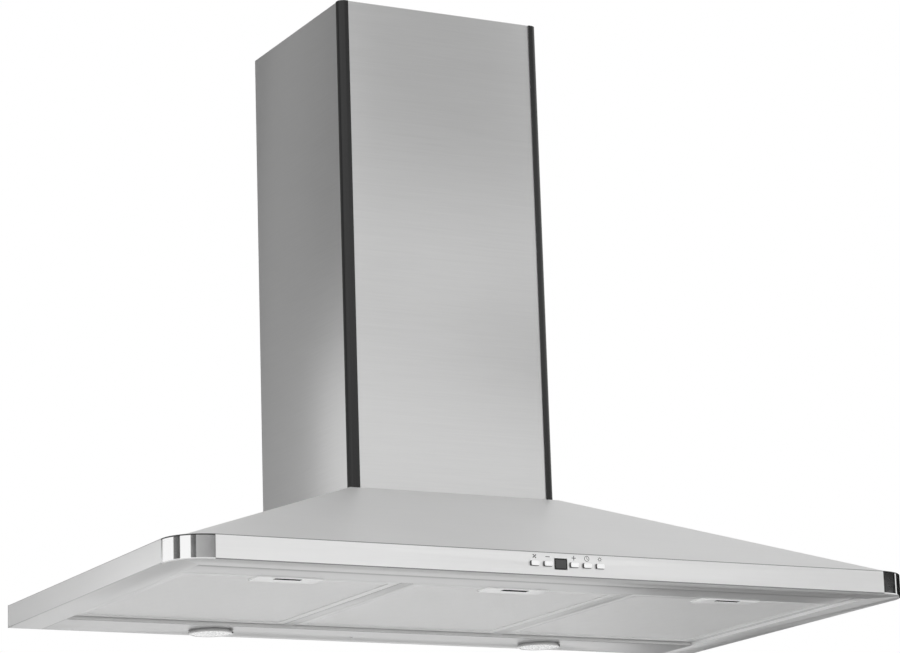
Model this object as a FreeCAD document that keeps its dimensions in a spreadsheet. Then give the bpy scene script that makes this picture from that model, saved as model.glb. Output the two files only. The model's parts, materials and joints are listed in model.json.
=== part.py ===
"""Wall-mounted chimney range hood, 900 mm wide.

Millimetres, +Z up. The front of the hood faces -Y and the wall is the plane y = 0. The origin is midway
between the two wall screw holes of the back panel, so the rim of the canopy lies hang_height below it.

Places are given in three words of the trade: x runs across the hood from its middle, out is the distance
from the wall, and up is the height above the underside of the rim.
"""

import FreeCAD, Part
import os
import re

import Sketcher
from FreeCAD import Placement, Rotation, Vector

doc = FreeCAD.newDocument("RangeHood")

# ---------------------------------------------------------------------------------------------------------
# Driving dimensions
# ---------------------------------------------------------------------------------------------------------

DIMENSIONS = {
    # canopy
    "hood_width": 900,
    "hood_depth": 500,
    "band_height": 26,
    "band_sheet": 1,
    "ledge_width": 18,
    "flange_width": 40,
    "recess_depth": 4,
    "corner_radius": 42,
    "cap_wall": 1.5,
    "fold_radius": 1.2,
    "foot_inset": 14,
    "canopy_rise": 110,
    "canopy_sheet": 1.2,
    "canopy_border": 3,
    "back_sheet": 1.2,
    # wall fixing
    "hang_height": 85,
    "wall_hole_spacing": 230,
    "wall_hole_radius": 4,
    # filters and the rails that carry them
    "side_step": 6,
    "divider_width": 14,
    "filter_side_gap": 0.7,
    "filter_length": 309,
    "filter_thickness": 9,
    "filter_rim": 10,
    "filter_sheet": 0.8,
    "filter_wall": 1,
    "mesh_sheet": 0.5,
    "filter_rear_gap": 3,
    "rail_gap": 0.5,
    "rail_sheet": 1.2,
    "rail_overlap": 9,
    "rail_stiffener": 12,
    "web_height": 14,
    "hinge_inset": 4.5,
    "hinge_radius": 2.5,
    "hinge_play": 0.05,
    "hinge_overrun": 1.3,
    "seat_gap": 0.3,
    # handle and catch of a filter
    "handle_width": 76,
    "handle_depth": 28,
    "handle_wall": 1.5,
    "handle_proud": 0.8,
    "handle_floor": 2,
    "notch_gap": 0.3,
    "slot_width": 32,
    "slot_depth": 9.3,
    "slot_offset": 5,
    "catch_width": 60,
    "catch_thickness": 2.5,
    "catch_travel": 6,
    "tongue_width": 30,
    "tongue_reach": 4.5,
    "grip_thickness": 2.5,
    "slide_gap": 0.3,
    # lamps
    "lamp_panel_depth": 79,
    "lamp_spacing": 433,
    "lamp_out": 39,
    "bezel_radius": 26,
    "bezel_lip": 1,
    "bezel_drop": 3.8,
    "bezel_step": 1.2,
    "bezel_neck_radius": 24.5,
    "spigot_radius": 22.6,
    "spigot_height": 6,
    "spigot_bore": 17.5,
    "lens_seat": 2,
    "lens_radius": 22.3,
    "lens_play": 0.1,
    "lens_edge": 1.6,
    "lens_crown": 1.4,
    "reflector_height": 26,
    "reflector_neck": 9,
    "reflector_wall": 1,
    "reflector_rim": 1.6,
    "bulb_radius": 4.5,
    "bulb_length": 14,
    "bulb_base_height": 7,
    # controls
    "control_pitch": 16,
    "button_up": 13,
    "button_width": 9.5,
    "button_height": 4.8,
    "button_round": 1.4,
    "button_proud": 2.5,
    "button_travel": 1.5,
    "button_play": 0.15,
    "button_flange": 1,
    "button_flange_rim": 1.4,
    "button_float": 0.05,
    "stem_radius": 1.6,
    "stem_length": 4.5,
    "display_width": 15.2,
    "display_height": 11.7,
    "display_up": 13.5,
    "display_round": 1.8,
    "display_proud": 0.3,
    "display_flange": 1.3,
    "housing_width": 116,
    "housing_depth": 16,
    "housing_wall": 1.2,
    "housing_clearance": 1,
    "board_thickness": 1.6,
    "board_standoff": 2.3,
    "board_ledge": 6,
    "switch_size": 6,
    "switch_gap": 0.2,
    # fan unit
    "box_width": 204,
    "box_depth": 202,
    "box_height": 250,
    "box_sheet": 1,
    "box_rear": 20,
    "box_flange": 8,
    "screw_head_radius": 4,
    "screw_head_height": 2.2,
    "screw_radius": 1.9,
    "screw_length": 5,
    "screw_play": 0.1,
    "screw_rows": 81,
    "wheel_x": -30,
    "wheel_radius": 62,
    "wheel_inner_radius": 50,
    "wheel_depth": 56,
    "wheel_disc": 1.2,
    "wheel_ring": 2,
    "wheel_blades": 30,
    "wheel_gap": 2,
    "blade_thickness": 1,
    "blade_lean": 3,
    "hub_radius": 12,
    "hub_depth": 30,
    "shaft_radius": 4,
    "shaft_length": 89,
    "shaft_play": 0.05,
    "shaft_seat": 24,
    "volute_radius": 68,
    "volute_step": 7,
    "volute_depth": 70,
    "volute_sheet": 1.2,
    "volute_rear": 86,
    "volute_floor_gap": 20,
    "mouth_start": 15,
    "mouth_flange": 24,
    "inlet_radius": 46,
    "motor_opening": 40,
    "motor_plate_radius": 52,
    "motor_plate": 2,
    "motor_radius": 40,
    "motor_length": 56,
    "motor_rib": 1.5,
    "boss_radius": 8.5,
    "boss_length": 6,
    "boss_play": 0.5,
    # outlet
    "collar_radius": 74.5,
    "collar_wall": 1.5,
    "collar_height": 50,
    "collar_flange": 84,
    "collar_sheet": 1.5,
    "flap_rod_up": 22,
    "flap_rod_radius": 1.5,
    "flap_play": 0.08,
    "flap_knuckle": 2.6,
    "flap_thickness": 1.2,
    "flap_edge": 3,
    "flap_side_gap": 1.5,
    "knuckle_spacing": 2,
    "knuckle_inset": 9,
    "stop_width": 2.5,
    # electrics
    "supply_width": 80,
    "supply_depth": 34.8,
    "supply_height": 40,
    "supply_x": -172,
    "supply_up": 52,
    "capacitor_radius": 16,
    "capacitor_length": 60,
    "capacitor_x": 170,
    "capacitor_up": 75,
    "capacitor_foot": 8,
    "gland_gap": 0.3,
    "gland_out": 60,
    "gland_bore": 3.75,
    "gland_neck": 5.9,
    "gland_play": 0.1,
    "gland_collar": 7,
    "gland_top": 14,
    "gland_nut": 5,
    "gland_nut_radius": 8,
    # chimney
    "chimney_side_room": 29,
    "chimney_depth": 246,
    "chimney_height": 580,
    "chimney_sheet": 1,
    "chimney_return": 11,
    "trim_leg": 11,
    "trim_round": 8,
    "trim_skin": 0.8,
    "trim_lip": 1,
    "trim_groove": 5,
    "flue_gap": 0.3,
    "flue_sheet": 0.8,
    "flue_rear": 1.3,
    "flue_shortfall": 2.7,
    "bracket_sheet": 1.5,
    "bracket_width": 236,
    "bracket_reach": 40,
    "bracket_height": 30,
    "bracket_drop": 46,
    "bracket_joggle": 6,
    "bracket_hole_spacing": 140,
    "bracket_hole_radius": 3,
}

sizes = doc.addObject("Spreadsheet::Sheet", "Sizes")
for row, (word, size) in enumerate(DIMENSIONS.items(), start=1):
    sizes.set(f"A{row}", word)
    sizes.set(f"B{row}", str(size))
    sizes.setAlias(f"B{row}", word)
doc.recompute()

# Places that several pieces share, worked out from the driving dimensions.
HALF_WIDTH = "(hood_width / 2)"
RECESS_HALF = f"({HALF_WIDTH} - flange_width)"
CORNER_X = f"({HALF_WIDTH} - corner_radius)"
CORNER_OUT = "(hood_depth - corner_radius)"
RECESS_FRONT = "(hood_depth - flange_width)"
CANOPY_TOP = "(band_height + canopy_rise)"
FOOT_HALF = f"({HALF_WIDTH} - foot_inset)"
BOX_HALF = "(box_width / 2)"
CHIMNEY_HALF = f"({BOX_HALF} + chimney_side_room)"
TOP_HALF = f"({CHIMNEY_HALF} + canopy_border)"
TOP_OUT = "(chimney_depth + canopy_border)"
FILTER_REAR = "(lamp_panel_depth + filter_rear_gap)"
FILTER_FRONT = f"({FILTER_REAR} + filter_length)"
SIDE_WEB = f"({RECESS_HALF} - side_step)"
FILTER_PITCH = f"(({SIDE_WEB} + divider_width / 2) / 1.5)"
FILTER_HALF = f"({FILTER_PITCH} / 2 - divider_width / 2 - filter_side_gap)"
FILTER_TOP = "(recess_depth + filter_thickness)"
RAIL_REAR = f"({FILTER_FRONT} + rail_gap)"
RAIL_TOP = "(recess_depth + rail_sheet)"
HINGE_OUT = f"({FILTER_REAR} + hinge_inset)"
HINGE_UP = "(recess_depth + filter_thickness / 2)"
BAND_INNER = "(hood_depth - band_sheet)"
BOX_FRONT = "(box_rear + box_depth)"
BOX_TOP = f"({CANOPY_TOP} + box_height)"
BOX_MIDDLE = "(box_rear + box_depth / 2)"
GLAND_X = f"({BOX_HALF} + box_flange + gland_gap + gland_nut_radius)"
WHEEL_UP = f"({CANOPY_TOP} + volute_floor_gap + volute_radius + volute_step)"
COLLAR_TOP = f"({BOX_TOP} + collar_height)"
CHIMNEY_TOP = f"({CANOPY_TOP} + chimney_height)"
TRIM_DEPTH = "(trim_skin + chimney_sheet + trim_lip)"
FLUE_HALF = f"({CHIMNEY_HALF} - {TRIM_DEPTH} - flue_gap)"
FLUE_OUT = f"(chimney_depth - {TRIM_DEPTH} - flue_gap)"
FLUE_TOP = f"({CHIMNEY_TOP} - flue_shortfall)"

# ---------------------------------------------------------------------------------------------------------
# Ways of making a solid
# ---------------------------------------------------------------------------------------------------------

SIZE_WORD = re.compile(r"[a-z][a-z0-9_]*(?![a-z0-9_(])")
ALONG = {
    "x": Rotation(Vector(0, 1, 0), 90),
    "out": Rotation(Vector(1, 0, 0), 90),
    "up": Rotation(),
}

pieces = []


def link(rule):
    """Turns a rule in the words of the size sheet into an expression."""
    return SIZE_WORD.sub(lambda word: "Sizes." + word.group(), rule)


def size(word):
    return float(sizes.get(word))


def tie(item, **rules):
    for name, rule in rules.items():
        item.setExpression(name.replace("__", "."), link(rule))


def seat(item, x, out, up):
    """Ties the item's own origin to a place on the hood."""
    tie(
        item,
        Placement__Base__x=x,
        Placement__Base__y=f"0 - ({out})",
        Placement__Base__z=f"{up} - hang_height",
    )


def both(half):
    """A span from the left to the right of the middle."""
    return (f"0 - ({half})", half)


def moved(span, shift):
    return tuple(f"({end}) + ({shift})" for end in span)


def past(*span):
    """A span for a cutting tool, a little past both ends."""
    return (f"({span[0]}) - 1", f"({span[-1]}) + 1")


def mirrored(span):
    low, high = span
    return (f"0 - ({high})", f"0 - ({low})")


def sided(side, span):
    """The span as given on the right, side 1, and mirrored on the left, side -1."""
    return span if side > 0 else mirrored(span)


def block(x, out, up):
    item = doc.addObject("Part::Box", "Block")
    tie(
        item,
        Length=f"({x[1]}) - ({x[0]})",
        Width=f"({out[1]}) - ({out[0]})",
        Height=f"({up[1]}) - ({up[0]})",
    )
    seat(item, x[0], out[1], up[0])
    return item


def rod(radius, x, out, up, start=None):
    """A round bar along the one direction given as a span, or a quarter of it from the start angle on."""
    spans = {"x": x, "out": out, "up": up}
    along = next(name for name, span in spans.items() if isinstance(span, tuple))
    low, high = spans[along]
    spans[along] = low
    item = doc.addObject("Part::Cylinder", "Rod")
    turn = ALONG[along]
    if start is not None:
        item.Angle = 90
        turn = turn * Rotation(Vector(0, 0, 1), start)
    item.Placement = Placement(Vector(), turn)
    tie(item, Radius=radius, Height=f"({high}) - ({low})")
    seat(item, spans["x"], spans["out"], spans["up"])
    return item


def tapered(first, last, x_first, x_last, z_first, z_last, turn):
    """A wedge from a rectangle at first to another at last, in the directions that turn gives."""
    item = doc.addObject("Part::Wedge", "Taper")
    tie(item, Ymin=first, Ymax=last)
    tie(item, Xmin=x_first[0], Xmax=x_first[1], X2min=x_last[0], X2max=x_last[1])
    tie(item, Zmin=z_first[0], Zmax=z_first[1], Z2min=z_last[0], Z2max=z_last[1])
    item.Placement = Placement(Vector(), turn)
    seat(item, "0", "0", "0")
    return item


def joined(*items):
    item = doc.addObject("Part::MultiFuse", "Joined")
    item.Shapes = list(items)
    item.Refine = True
    return item


def cut(base, *tools):
    item = doc.addObject("Part::Cut", "Shaped")
    item.Base = base
    item.Tool = tools[0] if len(tools) == 1 else joined(*tools)
    item.Refine = True
    return item


def piece(name, item):
    item.Label = name
    pieces.append(item)
    return item


def new_body():
    return doc.addObject("PartDesign::Body", "Body")


def new_sketch(body, role):
    sketch = body.newObject("Sketcher::SketchObject", "Sketch")
    plane = next(part for part in body.Origin.OriginFeatures if part.Role == role)
    sketch.AttachmentSupport = [(plane, "")]
    sketch.MapMode = "FlatFace"
    return sketch


def pin_point(sketch, geometry, point, place):
    """Holds one point of the sketch at a place given by two rules."""
    for kind, rule in zip(("DistanceX", "DistanceY"), place):
        number = sketch.addConstraint(Sketcher.Constraint(kind, -1, 1, geometry, point, 1.0))
        sketch.setExpression(f"Constraints[{number}]", link(rule))


def outline(body, role, corners):
    """A closed outline of straight edges through the corners."""
    sketch = new_sketch(body, role)
    count = len(corners)
    draft = [Vector(n, 0.3 * n * n, 0) for n in range(count)]
    for n in range(count):
        sketch.addGeometry(Part.LineSegment(draft[n], draft[(n + 1) % count]), False)
    for n in range(count):
        sketch.addConstraint(Sketcher.Constraint("Coincident", n, 2, (n + 1) % count, 1))
    for n, corner in enumerate(corners):
        pin_point(sketch, n, 1, corner)
    return sketch


def circles(body, role, centre, *radii):
    sketch = new_sketch(body, role)
    for n, radius in enumerate(radii):
        sketch.addGeometry(Part.Circle(Vector(), Vector(0, 0, 1), 1 + n), False)
        number = sketch.addConstraint(Sketcher.Constraint("Radius", n, 1.0 + n))
        sketch.setExpression(f"Constraints[{number}]", link(radius))
        pin_point(sketch, n, 3, centre)
    return sketch


def rectangle(body, role, across, along):
    (x_low, x_high), (y_low, y_high) = across, along
    corners = [(x_low, y_low), (x_high, y_low), (x_high, y_high), (x_low, y_high)]
    return outline(body, role, corners)


def pad(body, sketch, length, back=False):
    feature = body.newObject("PartDesign::Pad", "Pad")
    feature.Profile = sketch
    feature.Reversed = back
    tie(feature, Length=length)
    return feature


def rounded(body, feature, radius, wanted):
    """Rounds the edges of the feature that wanted picks."""
    doc.recompute()
    names = [f"Edge{n}" for n, edge in enumerate(feature.Shape.Edges, start=1) if wanted(edge)]
    fillet = body.newObject("PartDesign::Fillet", "Round")
    fillet.Base = (feature, names)
    tie(fillet, Radius=radius)
    return fillet


def runs_along(edge, axis):
    """Whether the edge is straight and parallel to the axis."""
    if not isinstance(edge.Curve, Part.Line):
        return False
    return abs(edge.Curve.Direction.dot(axis)) > 0.999


def revolve(body, role, corners, angle=360):
    """The solid that an outline of radius and place along the axis sweeps as it turns."""
    sketch = outline(body, role, corners)
    feature = body.newObject("PartDesign::Revolution", "Turned")
    feature.Profile = sketch
    feature.ReferenceAxis = (sketch, ["V_Axis"])
    feature.Angle = angle
    return feature


def turned(role, corners, x, out, up):
    """A piece turned on a lathe."""
    body = new_body()
    revolve(body, role, corners)
    seat(body, x, out, up)
    return body


def fold_cutters(x, out, up):
    """What a folded sheet lacks at its rounded lower and upper outer edges.

    One of x and out is the span of the edges' length. The other is the pair of the outer face and the
    place fold_radius inside it, in rising order, followed by the axis of the rounding.
    """
    cutters = []
    low, high = up
    for corner_up, axis_up in (((low, f"{low} + fold_radius"), f"{low} + fold_radius"),
                               ((f"{high} - fold_radius", high), f"{high} - fold_radius")):
        if len(x) == 3:
            square = block(x[:2], out, corner_up)
            inside = rod("fold_radius", x[2], out, axis_up)
        else:
            square = block(x, out[:2], corner_up)
            inside = rod("fold_radius", x, out[2], axis_up)
        cutters.append(cut(square, inside))
    return cutters


def names_of_sides():
    return (("left", -1), ("right", 1))


# ---------------------------------------------------------------------------------------------------------
# Canopy
# ---------------------------------------------------------------------------------------------------------

UPRIGHT = Rotation(Vector(1, 0, 0), 90)
SIDEWAYS = Rotation(Vector(0, 0, 1), -90)


def pyramid(drop):
    """The solid inside the canopy's sloping faces, lowered by drop."""
    return tapered(
        f"band_height - {drop}",
        f"{CANOPY_TOP} - {drop}",
        both(FOOT_HALF),
        both(TOP_HALF),
        ("back_sheet", "hood_depth - foot_inset"),
        ("back_sheet", TOP_OUT),
        UPRIGHT,
    )


def screw_places():
    return [(f"{side} * ({BOX_HALF} + box_flange / 2)", f"{BOX_MIDDLE} + {row} * screw_rows")
            for side in (-1, 1) for row in (-1, 0, 1)]


def screw_holes(up):
    return [rod("screw_radius + screw_play", x, out, up) for x, out in screw_places()]


def make_canopy():
    top = past(f"{CANOPY_TOP} - canopy_sheet", CANOPY_TOP)
    window = block(both(f"{BOX_HALF} - 2 * box_sheet"),
                   ("box_rear + 2 * box_sheet", f"{BOX_FRONT} - 2 * box_sheet"), top)
    gland_hole = rod("gland_neck + gland_play", f"0 - {GLAND_X}", "gland_out", top)
    holes = screw_holes(top)
    piece("canopy_shell", cut(pyramid("0"), pyramid("canopy_sheet"), window, gland_hole, *holes))

    slope = tapered("band_height", CANOPY_TOP, both(FOOT_HALF), both(TOP_HALF),
                    ("0", "back_sheet"), ("0", "back_sheet"), UPRIGHT)
    foot = block(both(HALF_WIDTH), ("0", "back_sheet"), ("0", "band_height"))
    wall_holes = [rod("wall_hole_radius", f"{side} * wall_hole_spacing / 2", past("0", "back_sheet"),
                      "hang_height") for side in (-1, 1)]
    piece("back_panel", cut(joined(foot, slope), *wall_holes))


def corner_cutter(side):
    """What lies outside the rounded front corner, up to the inside of the corner cap."""
    square = block(sided(side, (CORNER_X, HALF_WIDTH)), (CORNER_OUT, "hood_depth"), ("0", "band_height"))
    inside = rod("corner_radius - cap_wall", f"{side} * {CORNER_X}", CORNER_OUT, past("0", "band_height"))
    return cut(square, inside)


def control_place(slot):
    """Where the six controls sit across the front, slot 0 being the leftmost."""
    return f"{slot - 2.5} * control_pitch"


def make_front_band():
    ends = both(CORNER_X)
    wall = block(ends, (BAND_INNER, "hood_depth"), ("0", "band_height"))
    ledge = block(ends, ("hood_depth - ledge_width", "hood_depth"),
                  ("band_height - band_sheet", "band_height"))
    flange = tapered("0 - hood_depth", f"0 - {RECESS_FRONT}", both(HALF_WIDTH), both(RECESS_HALF),
                     ("0", "band_sheet"), ("0", "band_sheet"), Rotation())
    lip = block(both(f"{RECESS_HALF} - band_sheet"), (RECESS_FRONT, f"{RECESS_FRONT} + band_sheet"),
                ("0", "recess_depth"))
    through = past(BAND_INNER, "hood_depth")
    openings = [block(moved(both("button_width / 2 + button_play"), control_place(slot)), through,
                      moved(both("button_height / 2 + button_play"), "button_up"))
                for slot in BUTTON_SLOTS.values()]
    openings.append(block(moved(both("display_width / 2 + button_play"), control_place(DISPLAY_SLOT)),
                          through, moved(both("display_height / 2 + button_play"), "display_up")))
    inside_fold = "hood_depth - fold_radius"
    folds = fold_cutters(ends, (inside_fold, "hood_depth", inside_fold), ("0", "band_height"))
    band = joined(wall, ledge, flange, lip)
    piece("front_band", cut(band, corner_cutter(-1), corner_cutter(1), *folds, *openings))


def make_side_band(name, side):
    """Side of the rim, folded in below as flange, lip and the web that carries the outer filter."""
    run = ("back_sheet", CORNER_OUT)
    wall = block(sided(side, (f"{HALF_WIDTH} - band_sheet", HALF_WIDTH)), run, ("0", "band_height"))
    ledge = block(sided(side, (f"{HALF_WIDTH} - ledge_width", HALF_WIDTH)), run,
                  ("band_height - band_sheet", "band_height"))
    full, short = ("back_sheet", "hood_depth"), ("back_sheet", RECESS_FRONT)
    flange_x = sided(side, (RECESS_HALF, HALF_WIDTH))
    flange = tapered(*flange_x, *((full, short) if side < 0 else (short, full)),
                     ("0", "band_sheet"), ("0", "band_sheet"), SIDEWAYS)
    lip = block(sided(side, (RECESS_HALF, f"{RECESS_HALF} + band_sheet")), ("back_sheet", RECESS_FRONT),
                ("0", "recess_depth + band_sheet"))
    rail_run = (f"lamp_panel_depth + seat_gap", f"{RAIL_REAR} - seat_gap")
    step = block(sided(side, (SIDE_WEB, f"{RECESS_HALF} + band_sheet")), rail_run,
                 ("recess_depth", "recess_depth + band_sheet"))
    web_x = sided(side, (SIDE_WEB, f"{SIDE_WEB} + band_sheet"))
    web = block(web_x, rail_run, ("recess_depth", "recess_depth + web_height"))
    hinge_hole = rod("hinge_radius + hinge_play", past(*web_x), HINGE_OUT, HINGE_UP)
    inside_fold = f"{side} * ({HALF_WIDTH} - fold_radius)"
    outer_strip = sided(side, (f"{HALF_WIDTH} - fold_radius", HALF_WIDTH))
    folds = fold_cutters((*outer_strip, inside_fold), run, ("0", "band_height"))
    piece(name, cut(joined(wall, ledge, flange, lip, step, web), corner_cutter(side), hinge_hole, *folds))


def make_corner_cap(name, side):
    body = new_body()
    body.Placement = Placement(Vector(), Rotation(Vector(0, 0, 1), 180 if side < 0 else 270))
    section = [
        ("corner_radius", "0"),
        ("corner_radius", "band_height"),
        ("corner_radius - ledge_width", "band_height"),
        ("corner_radius - ledge_width", "band_height - band_sheet"),
        ("corner_radius - cap_wall", "band_height - band_sheet"),
        ("corner_radius - cap_wall", "0"),
    ]
    shell = revolve(body, "XZ_Plane", section, 90)
    doc.recompute()
    outer = size("corner_radius")

    def outer_rim(edge):
        return isinstance(edge.Curve, Part.Circle) and abs(edge.Curve.Radius - outer) < 0.01

    rounded(body, shell, "fold_radius", outer_rim)
    seat(body, f"{side} * {CORNER_X}", CORNER_OUT, "0")
    piece(name, body)


def make_rails():
    plate = block(both(f"{RECESS_HALF} - seat_gap"), (RAIL_REAR, f"{RECESS_FRONT} + rail_overlap"),
                  ("recess_depth", RAIL_TOP))
    stiffener = block(both(f"{RECESS_HALF} - seat_gap"),
                      (f"{RECESS_FRONT} + rail_overlap - rail_sheet", f"{RECESS_FRONT} + rail_overlap"),
                      ("recess_depth", "recess_depth + rail_stiffener"))
    piece("front_rail", joined(plate, stiffener))

    for name, side in names_of_sides():
        middle = f"{side} * {FILTER_PITCH} / 2"
        run = ("lamp_panel_depth", RAIL_REAR)
        face = block(moved(both("divider_width / 2"), middle), run,
                     ("recess_depth", "recess_depth + band_sheet"))
        web_x = ("divider_width / 2 - band_sheet", "divider_width / 2")
        webs = [block(moved(sided(edge, web_x), middle), run, ("recess_depth", "recess_depth + web_height"))
                for edge in (-1, 1)]
        hinge_hole = rod("hinge_radius + hinge_play", moved(both("divider_width"), middle),
                         HINGE_OUT, HINGE_UP)
        piece(f"divider_{name}", cut(joined(face, *webs), hinge_hole))


# ---------------------------------------------------------------------------------------------------------
# Grease filters
# ---------------------------------------------------------------------------------------------------------

HANDLE_REAR = f"({FILTER_FRONT} - handle_depth)"
HANDLE_FLOOR_TOP = "(recess_depth - handle_proud + handle_floor)"
CATCH_UP = (f"({HANDLE_FLOOR_TOP} + slide_gap)", f"({HANDLE_FLOOR_TOP} + slide_gap + catch_thickness)")
SLOT_FRONT = f"({FILTER_FRONT} - slot_offset)"
CATCH_FRONT = f"({FILTER_FRONT} - handle_wall - slide_gap)"
CATCH_REAR = f"({HANDLE_REAR} + handle_wall + slide_gap + catch_travel)"


def make_filter(number):
    middle = f"{number - 2} * {FILTER_PITCH}"
    channel_up = ("recess_depth + filter_sheet", f"{FILTER_TOP} - filter_sheet")
    body = block(moved(both(FILTER_HALF), middle), (FILTER_REAR, FILTER_FRONT), ("recess_depth", FILTER_TOP))
    window = block(moved(both(f"{FILTER_HALF} - filter_rim"), middle),
                   (f"{FILTER_REAR} + filter_rim", f"{FILTER_FRONT} - filter_rim"),
                   past("recess_depth", FILTER_TOP))

    def inside(skin):
        """The room between the frame's flanges, less a skin all round."""
        margin = f"filter_wall + {skin}"
        return block(moved(both(f"{FILTER_HALF} - ({margin})"), middle),
                     (f"{FILTER_REAR} + {margin}", f"{FILTER_FRONT} - ({margin})"),
                     (f"{channel_up[0]} + {skin}", f"{channel_up[1]} - {skin}"))

    def notch(skin, up):
        """The room for the handle, and a skin more."""
        return block(moved(both(f"handle_width / 2 + notch_gap + {skin}"), middle),
                     (f"{HANDLE_REAR} - notch_gap - {skin}", f"{FILTER_FRONT} + 1"), up)

    pin_x = (f"{FILTER_HALF} - filter_wall",
             f"{FILTER_HALF} + filter_side_gap + band_sheet + hinge_overrun")
    pins = [rod("hinge_radius", moved(sided(side, pin_x), middle), HINGE_OUT, HINGE_UP) for side in (-1, 1)]
    handle_room = notch("0", ("recess_depth - 1", channel_up[1]))
    piece(f"filter_frame_{number}", joined(cut(body, window, inside("0"), handle_room), *pins))

    wrapped, core = [cut(inside(skin), notch(skin, past("recess_depth", FILTER_TOP)))
                     for skin in ("0", "mesh_sheet")]
    piece(f"filter_mesh_{number}", cut(wrapped, core))

    shell = block(moved(both("handle_width / 2"), middle), (HANDLE_REAR, FILTER_FRONT),
                  ("recess_depth - handle_proud", channel_up[1]))
    hollow = block(moved(both("handle_width / 2 - handle_wall"), middle),
                   (f"{HANDLE_REAR} + handle_wall", f"{FILTER_FRONT} - handle_wall"),
                   (HANDLE_FLOOR_TOP, f"{FILTER_TOP} + 1"))
    slot = block(moved(both("slot_width / 2"), middle), (f"{SLOT_FRONT} - slot_depth", SLOT_FRONT),
                 past("recess_depth - handle_proud", HANDLE_FLOOR_TOP))
    tongue_gap = block(moved(both("tongue_width / 2 + notch_gap"), middle),
                       (f"{CATCH_FRONT} - 1", f"{FILTER_FRONT} + 1"),
                       (HANDLE_FLOOR_TOP, f"{CATCH_UP[1]} + slide_gap"))
    piece(f"filter_handle_{number}", cut(shell, hollow, slot, tongue_gap))

    plate = block(moved(both("catch_width / 2"), middle), (CATCH_REAR, CATCH_FRONT), CATCH_UP)
    tongue = block(moved(both("tongue_width / 2"), middle),
                   (CATCH_FRONT, f"{RAIL_REAR} + tongue_reach"), CATCH_UP)
    grip = block(moved(both("slot_width / 2 - 2 * slide_gap"), middle),
                 (f"{SLOT_FRONT} - grip_thickness - slide_gap", f"{SLOT_FRONT} - slide_gap"),
                 ("recess_depth + slide_gap", CATCH_UP[0]))
    piece(f"filter_catch_{number}", joined(plate, tongue, grip))


# ---------------------------------------------------------------------------------------------------------
# Lamps
# ---------------------------------------------------------------------------------------------------------

LAMP_X = "lamp_spacing / 2"


def make_lamp_panel():
    half = f"{RECESS_HALF} - seat_gap"
    plate = block(both(half), ("back_sheet", "lamp_panel_depth"), ("0", "band_sheet"))
    fold = block(both(half), ("lamp_panel_depth - band_sheet", "lamp_panel_depth"),
                 ("0", "recess_depth + web_height"))
    holes = [rod("spigot_radius + seat_gap", f"{side} * {LAMP_X}", "lamp_out", past("0", "band_sheet"))
             for side in (-1, 1)]
    piece("lamp_panel", cut(joined(plate, fold), *holes))


def make_lamp(name, side):
    place = (f"{side} * {LAMP_X}", "lamp_out", "0")
    seat_up = "0 - lens_seat"
    bezel = [
        ("lens_radius + lens_play", "0 - bezel_drop"),
        ("bezel_radius - bezel_lip", "0 - bezel_drop"),
        ("bezel_radius", "bezel_lip - bezel_drop"),
        ("bezel_radius", "0 - bezel_step"),
        ("bezel_neck_radius", "0 - bezel_step"),
        ("bezel_neck_radius", "0"),
        ("spigot_radius", "0"),
        ("spigot_radius", "spigot_height"),
        ("spigot_bore", "spigot_height"),
        ("spigot_bore", seat_up),
        ("lens_radius + lens_play", seat_up),
    ]
    piece(f"lamp_bezel_{name}", turned("XZ_Plane", bezel, *place))

    lens = [
        ("0", seat_up),
        ("lens_radius", seat_up),
        ("lens_radius", f"{seat_up} - lens_edge"),
        ("0.8 * lens_radius", f"{seat_up} - lens_edge - 0.4 * lens_crown"),
        ("0.5 * lens_radius", f"{seat_up} - lens_edge - 0.8 * lens_crown"),
        ("0", f"{seat_up} - lens_edge - lens_crown"),
    ]
    piece(f"lamp_lens_{name}", turned("XZ_Plane", lens, *place))

    rim_up = "spigot_height"
    neck_up = "spigot_height + reflector_height - bulb_base_height - reflector_wall"
    top_up = "spigot_height + reflector_height"
    reflector = [
        ("spigot_radius - reflector_rim", rim_up),
        ("spigot_radius", rim_up),
        ("spigot_radius", f"{rim_up} + 2 * reflector_wall"),
        ("reflector_neck", neck_up),
        ("reflector_neck", top_up),
        ("0", top_up),
        ("0", f"{top_up} - reflector_wall"),
        ("reflector_neck - reflector_wall", f"{top_up} - reflector_wall"),
        ("reflector_neck - reflector_wall", neck_up),
        ("spigot_radius - reflector_rim", f"{rim_up} + 2 * reflector_wall"),
    ]
    piece(f"lamp_reflector_{name}", turned("XZ_Plane", reflector, *place))

    base_top = f"{top_up} - reflector_wall"
    base_bottom = f"{base_top} - bulb_base_height"
    bulb = [
        ("0", base_top),
        ("reflector_neck - reflector_wall - seat_gap", base_top),
        ("reflector_neck - reflector_wall - seat_gap", base_bottom),
        ("bulb_radius", base_bottom),
        ("bulb_radius", f"{base_bottom} - bulb_length + bulb_radius"),
        ("0.7 * bulb_radius", f"{base_bottom} - bulb_length + 0.3 * bulb_radius"),
        ("0", f"{base_bottom} - bulb_length"),
    ]
    piece(f"lamp_bulb_{name}", turned("XZ_Plane", bulb, *place))


# ---------------------------------------------------------------------------------------------------------
# Controls behind the front band
# ---------------------------------------------------------------------------------------------------------

BUTTON_SLOTS = {"fan": 0, "slower": 1, "faster": 3, "timer": 4, "light": 5}
DISPLAY_SLOT = 2
FLANGE_FRONT = f"({BAND_INNER} - button_float)"
FLANGE_REAR = f"({FLANGE_FRONT} - button_flange)"
STEM_END = f"({FLANGE_REAR} - stem_length)"
SWITCH_FRONT = f"({STEM_END} - button_travel - switch_gap)"
HOUSING_REAR = f"({BAND_INNER} - housing_depth)"
BOARD_REAR = f"({HOUSING_REAR} + housing_wall + board_standoff)"
BOARD_FRONT = f"({BOARD_REAR} + board_thickness)"


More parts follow.
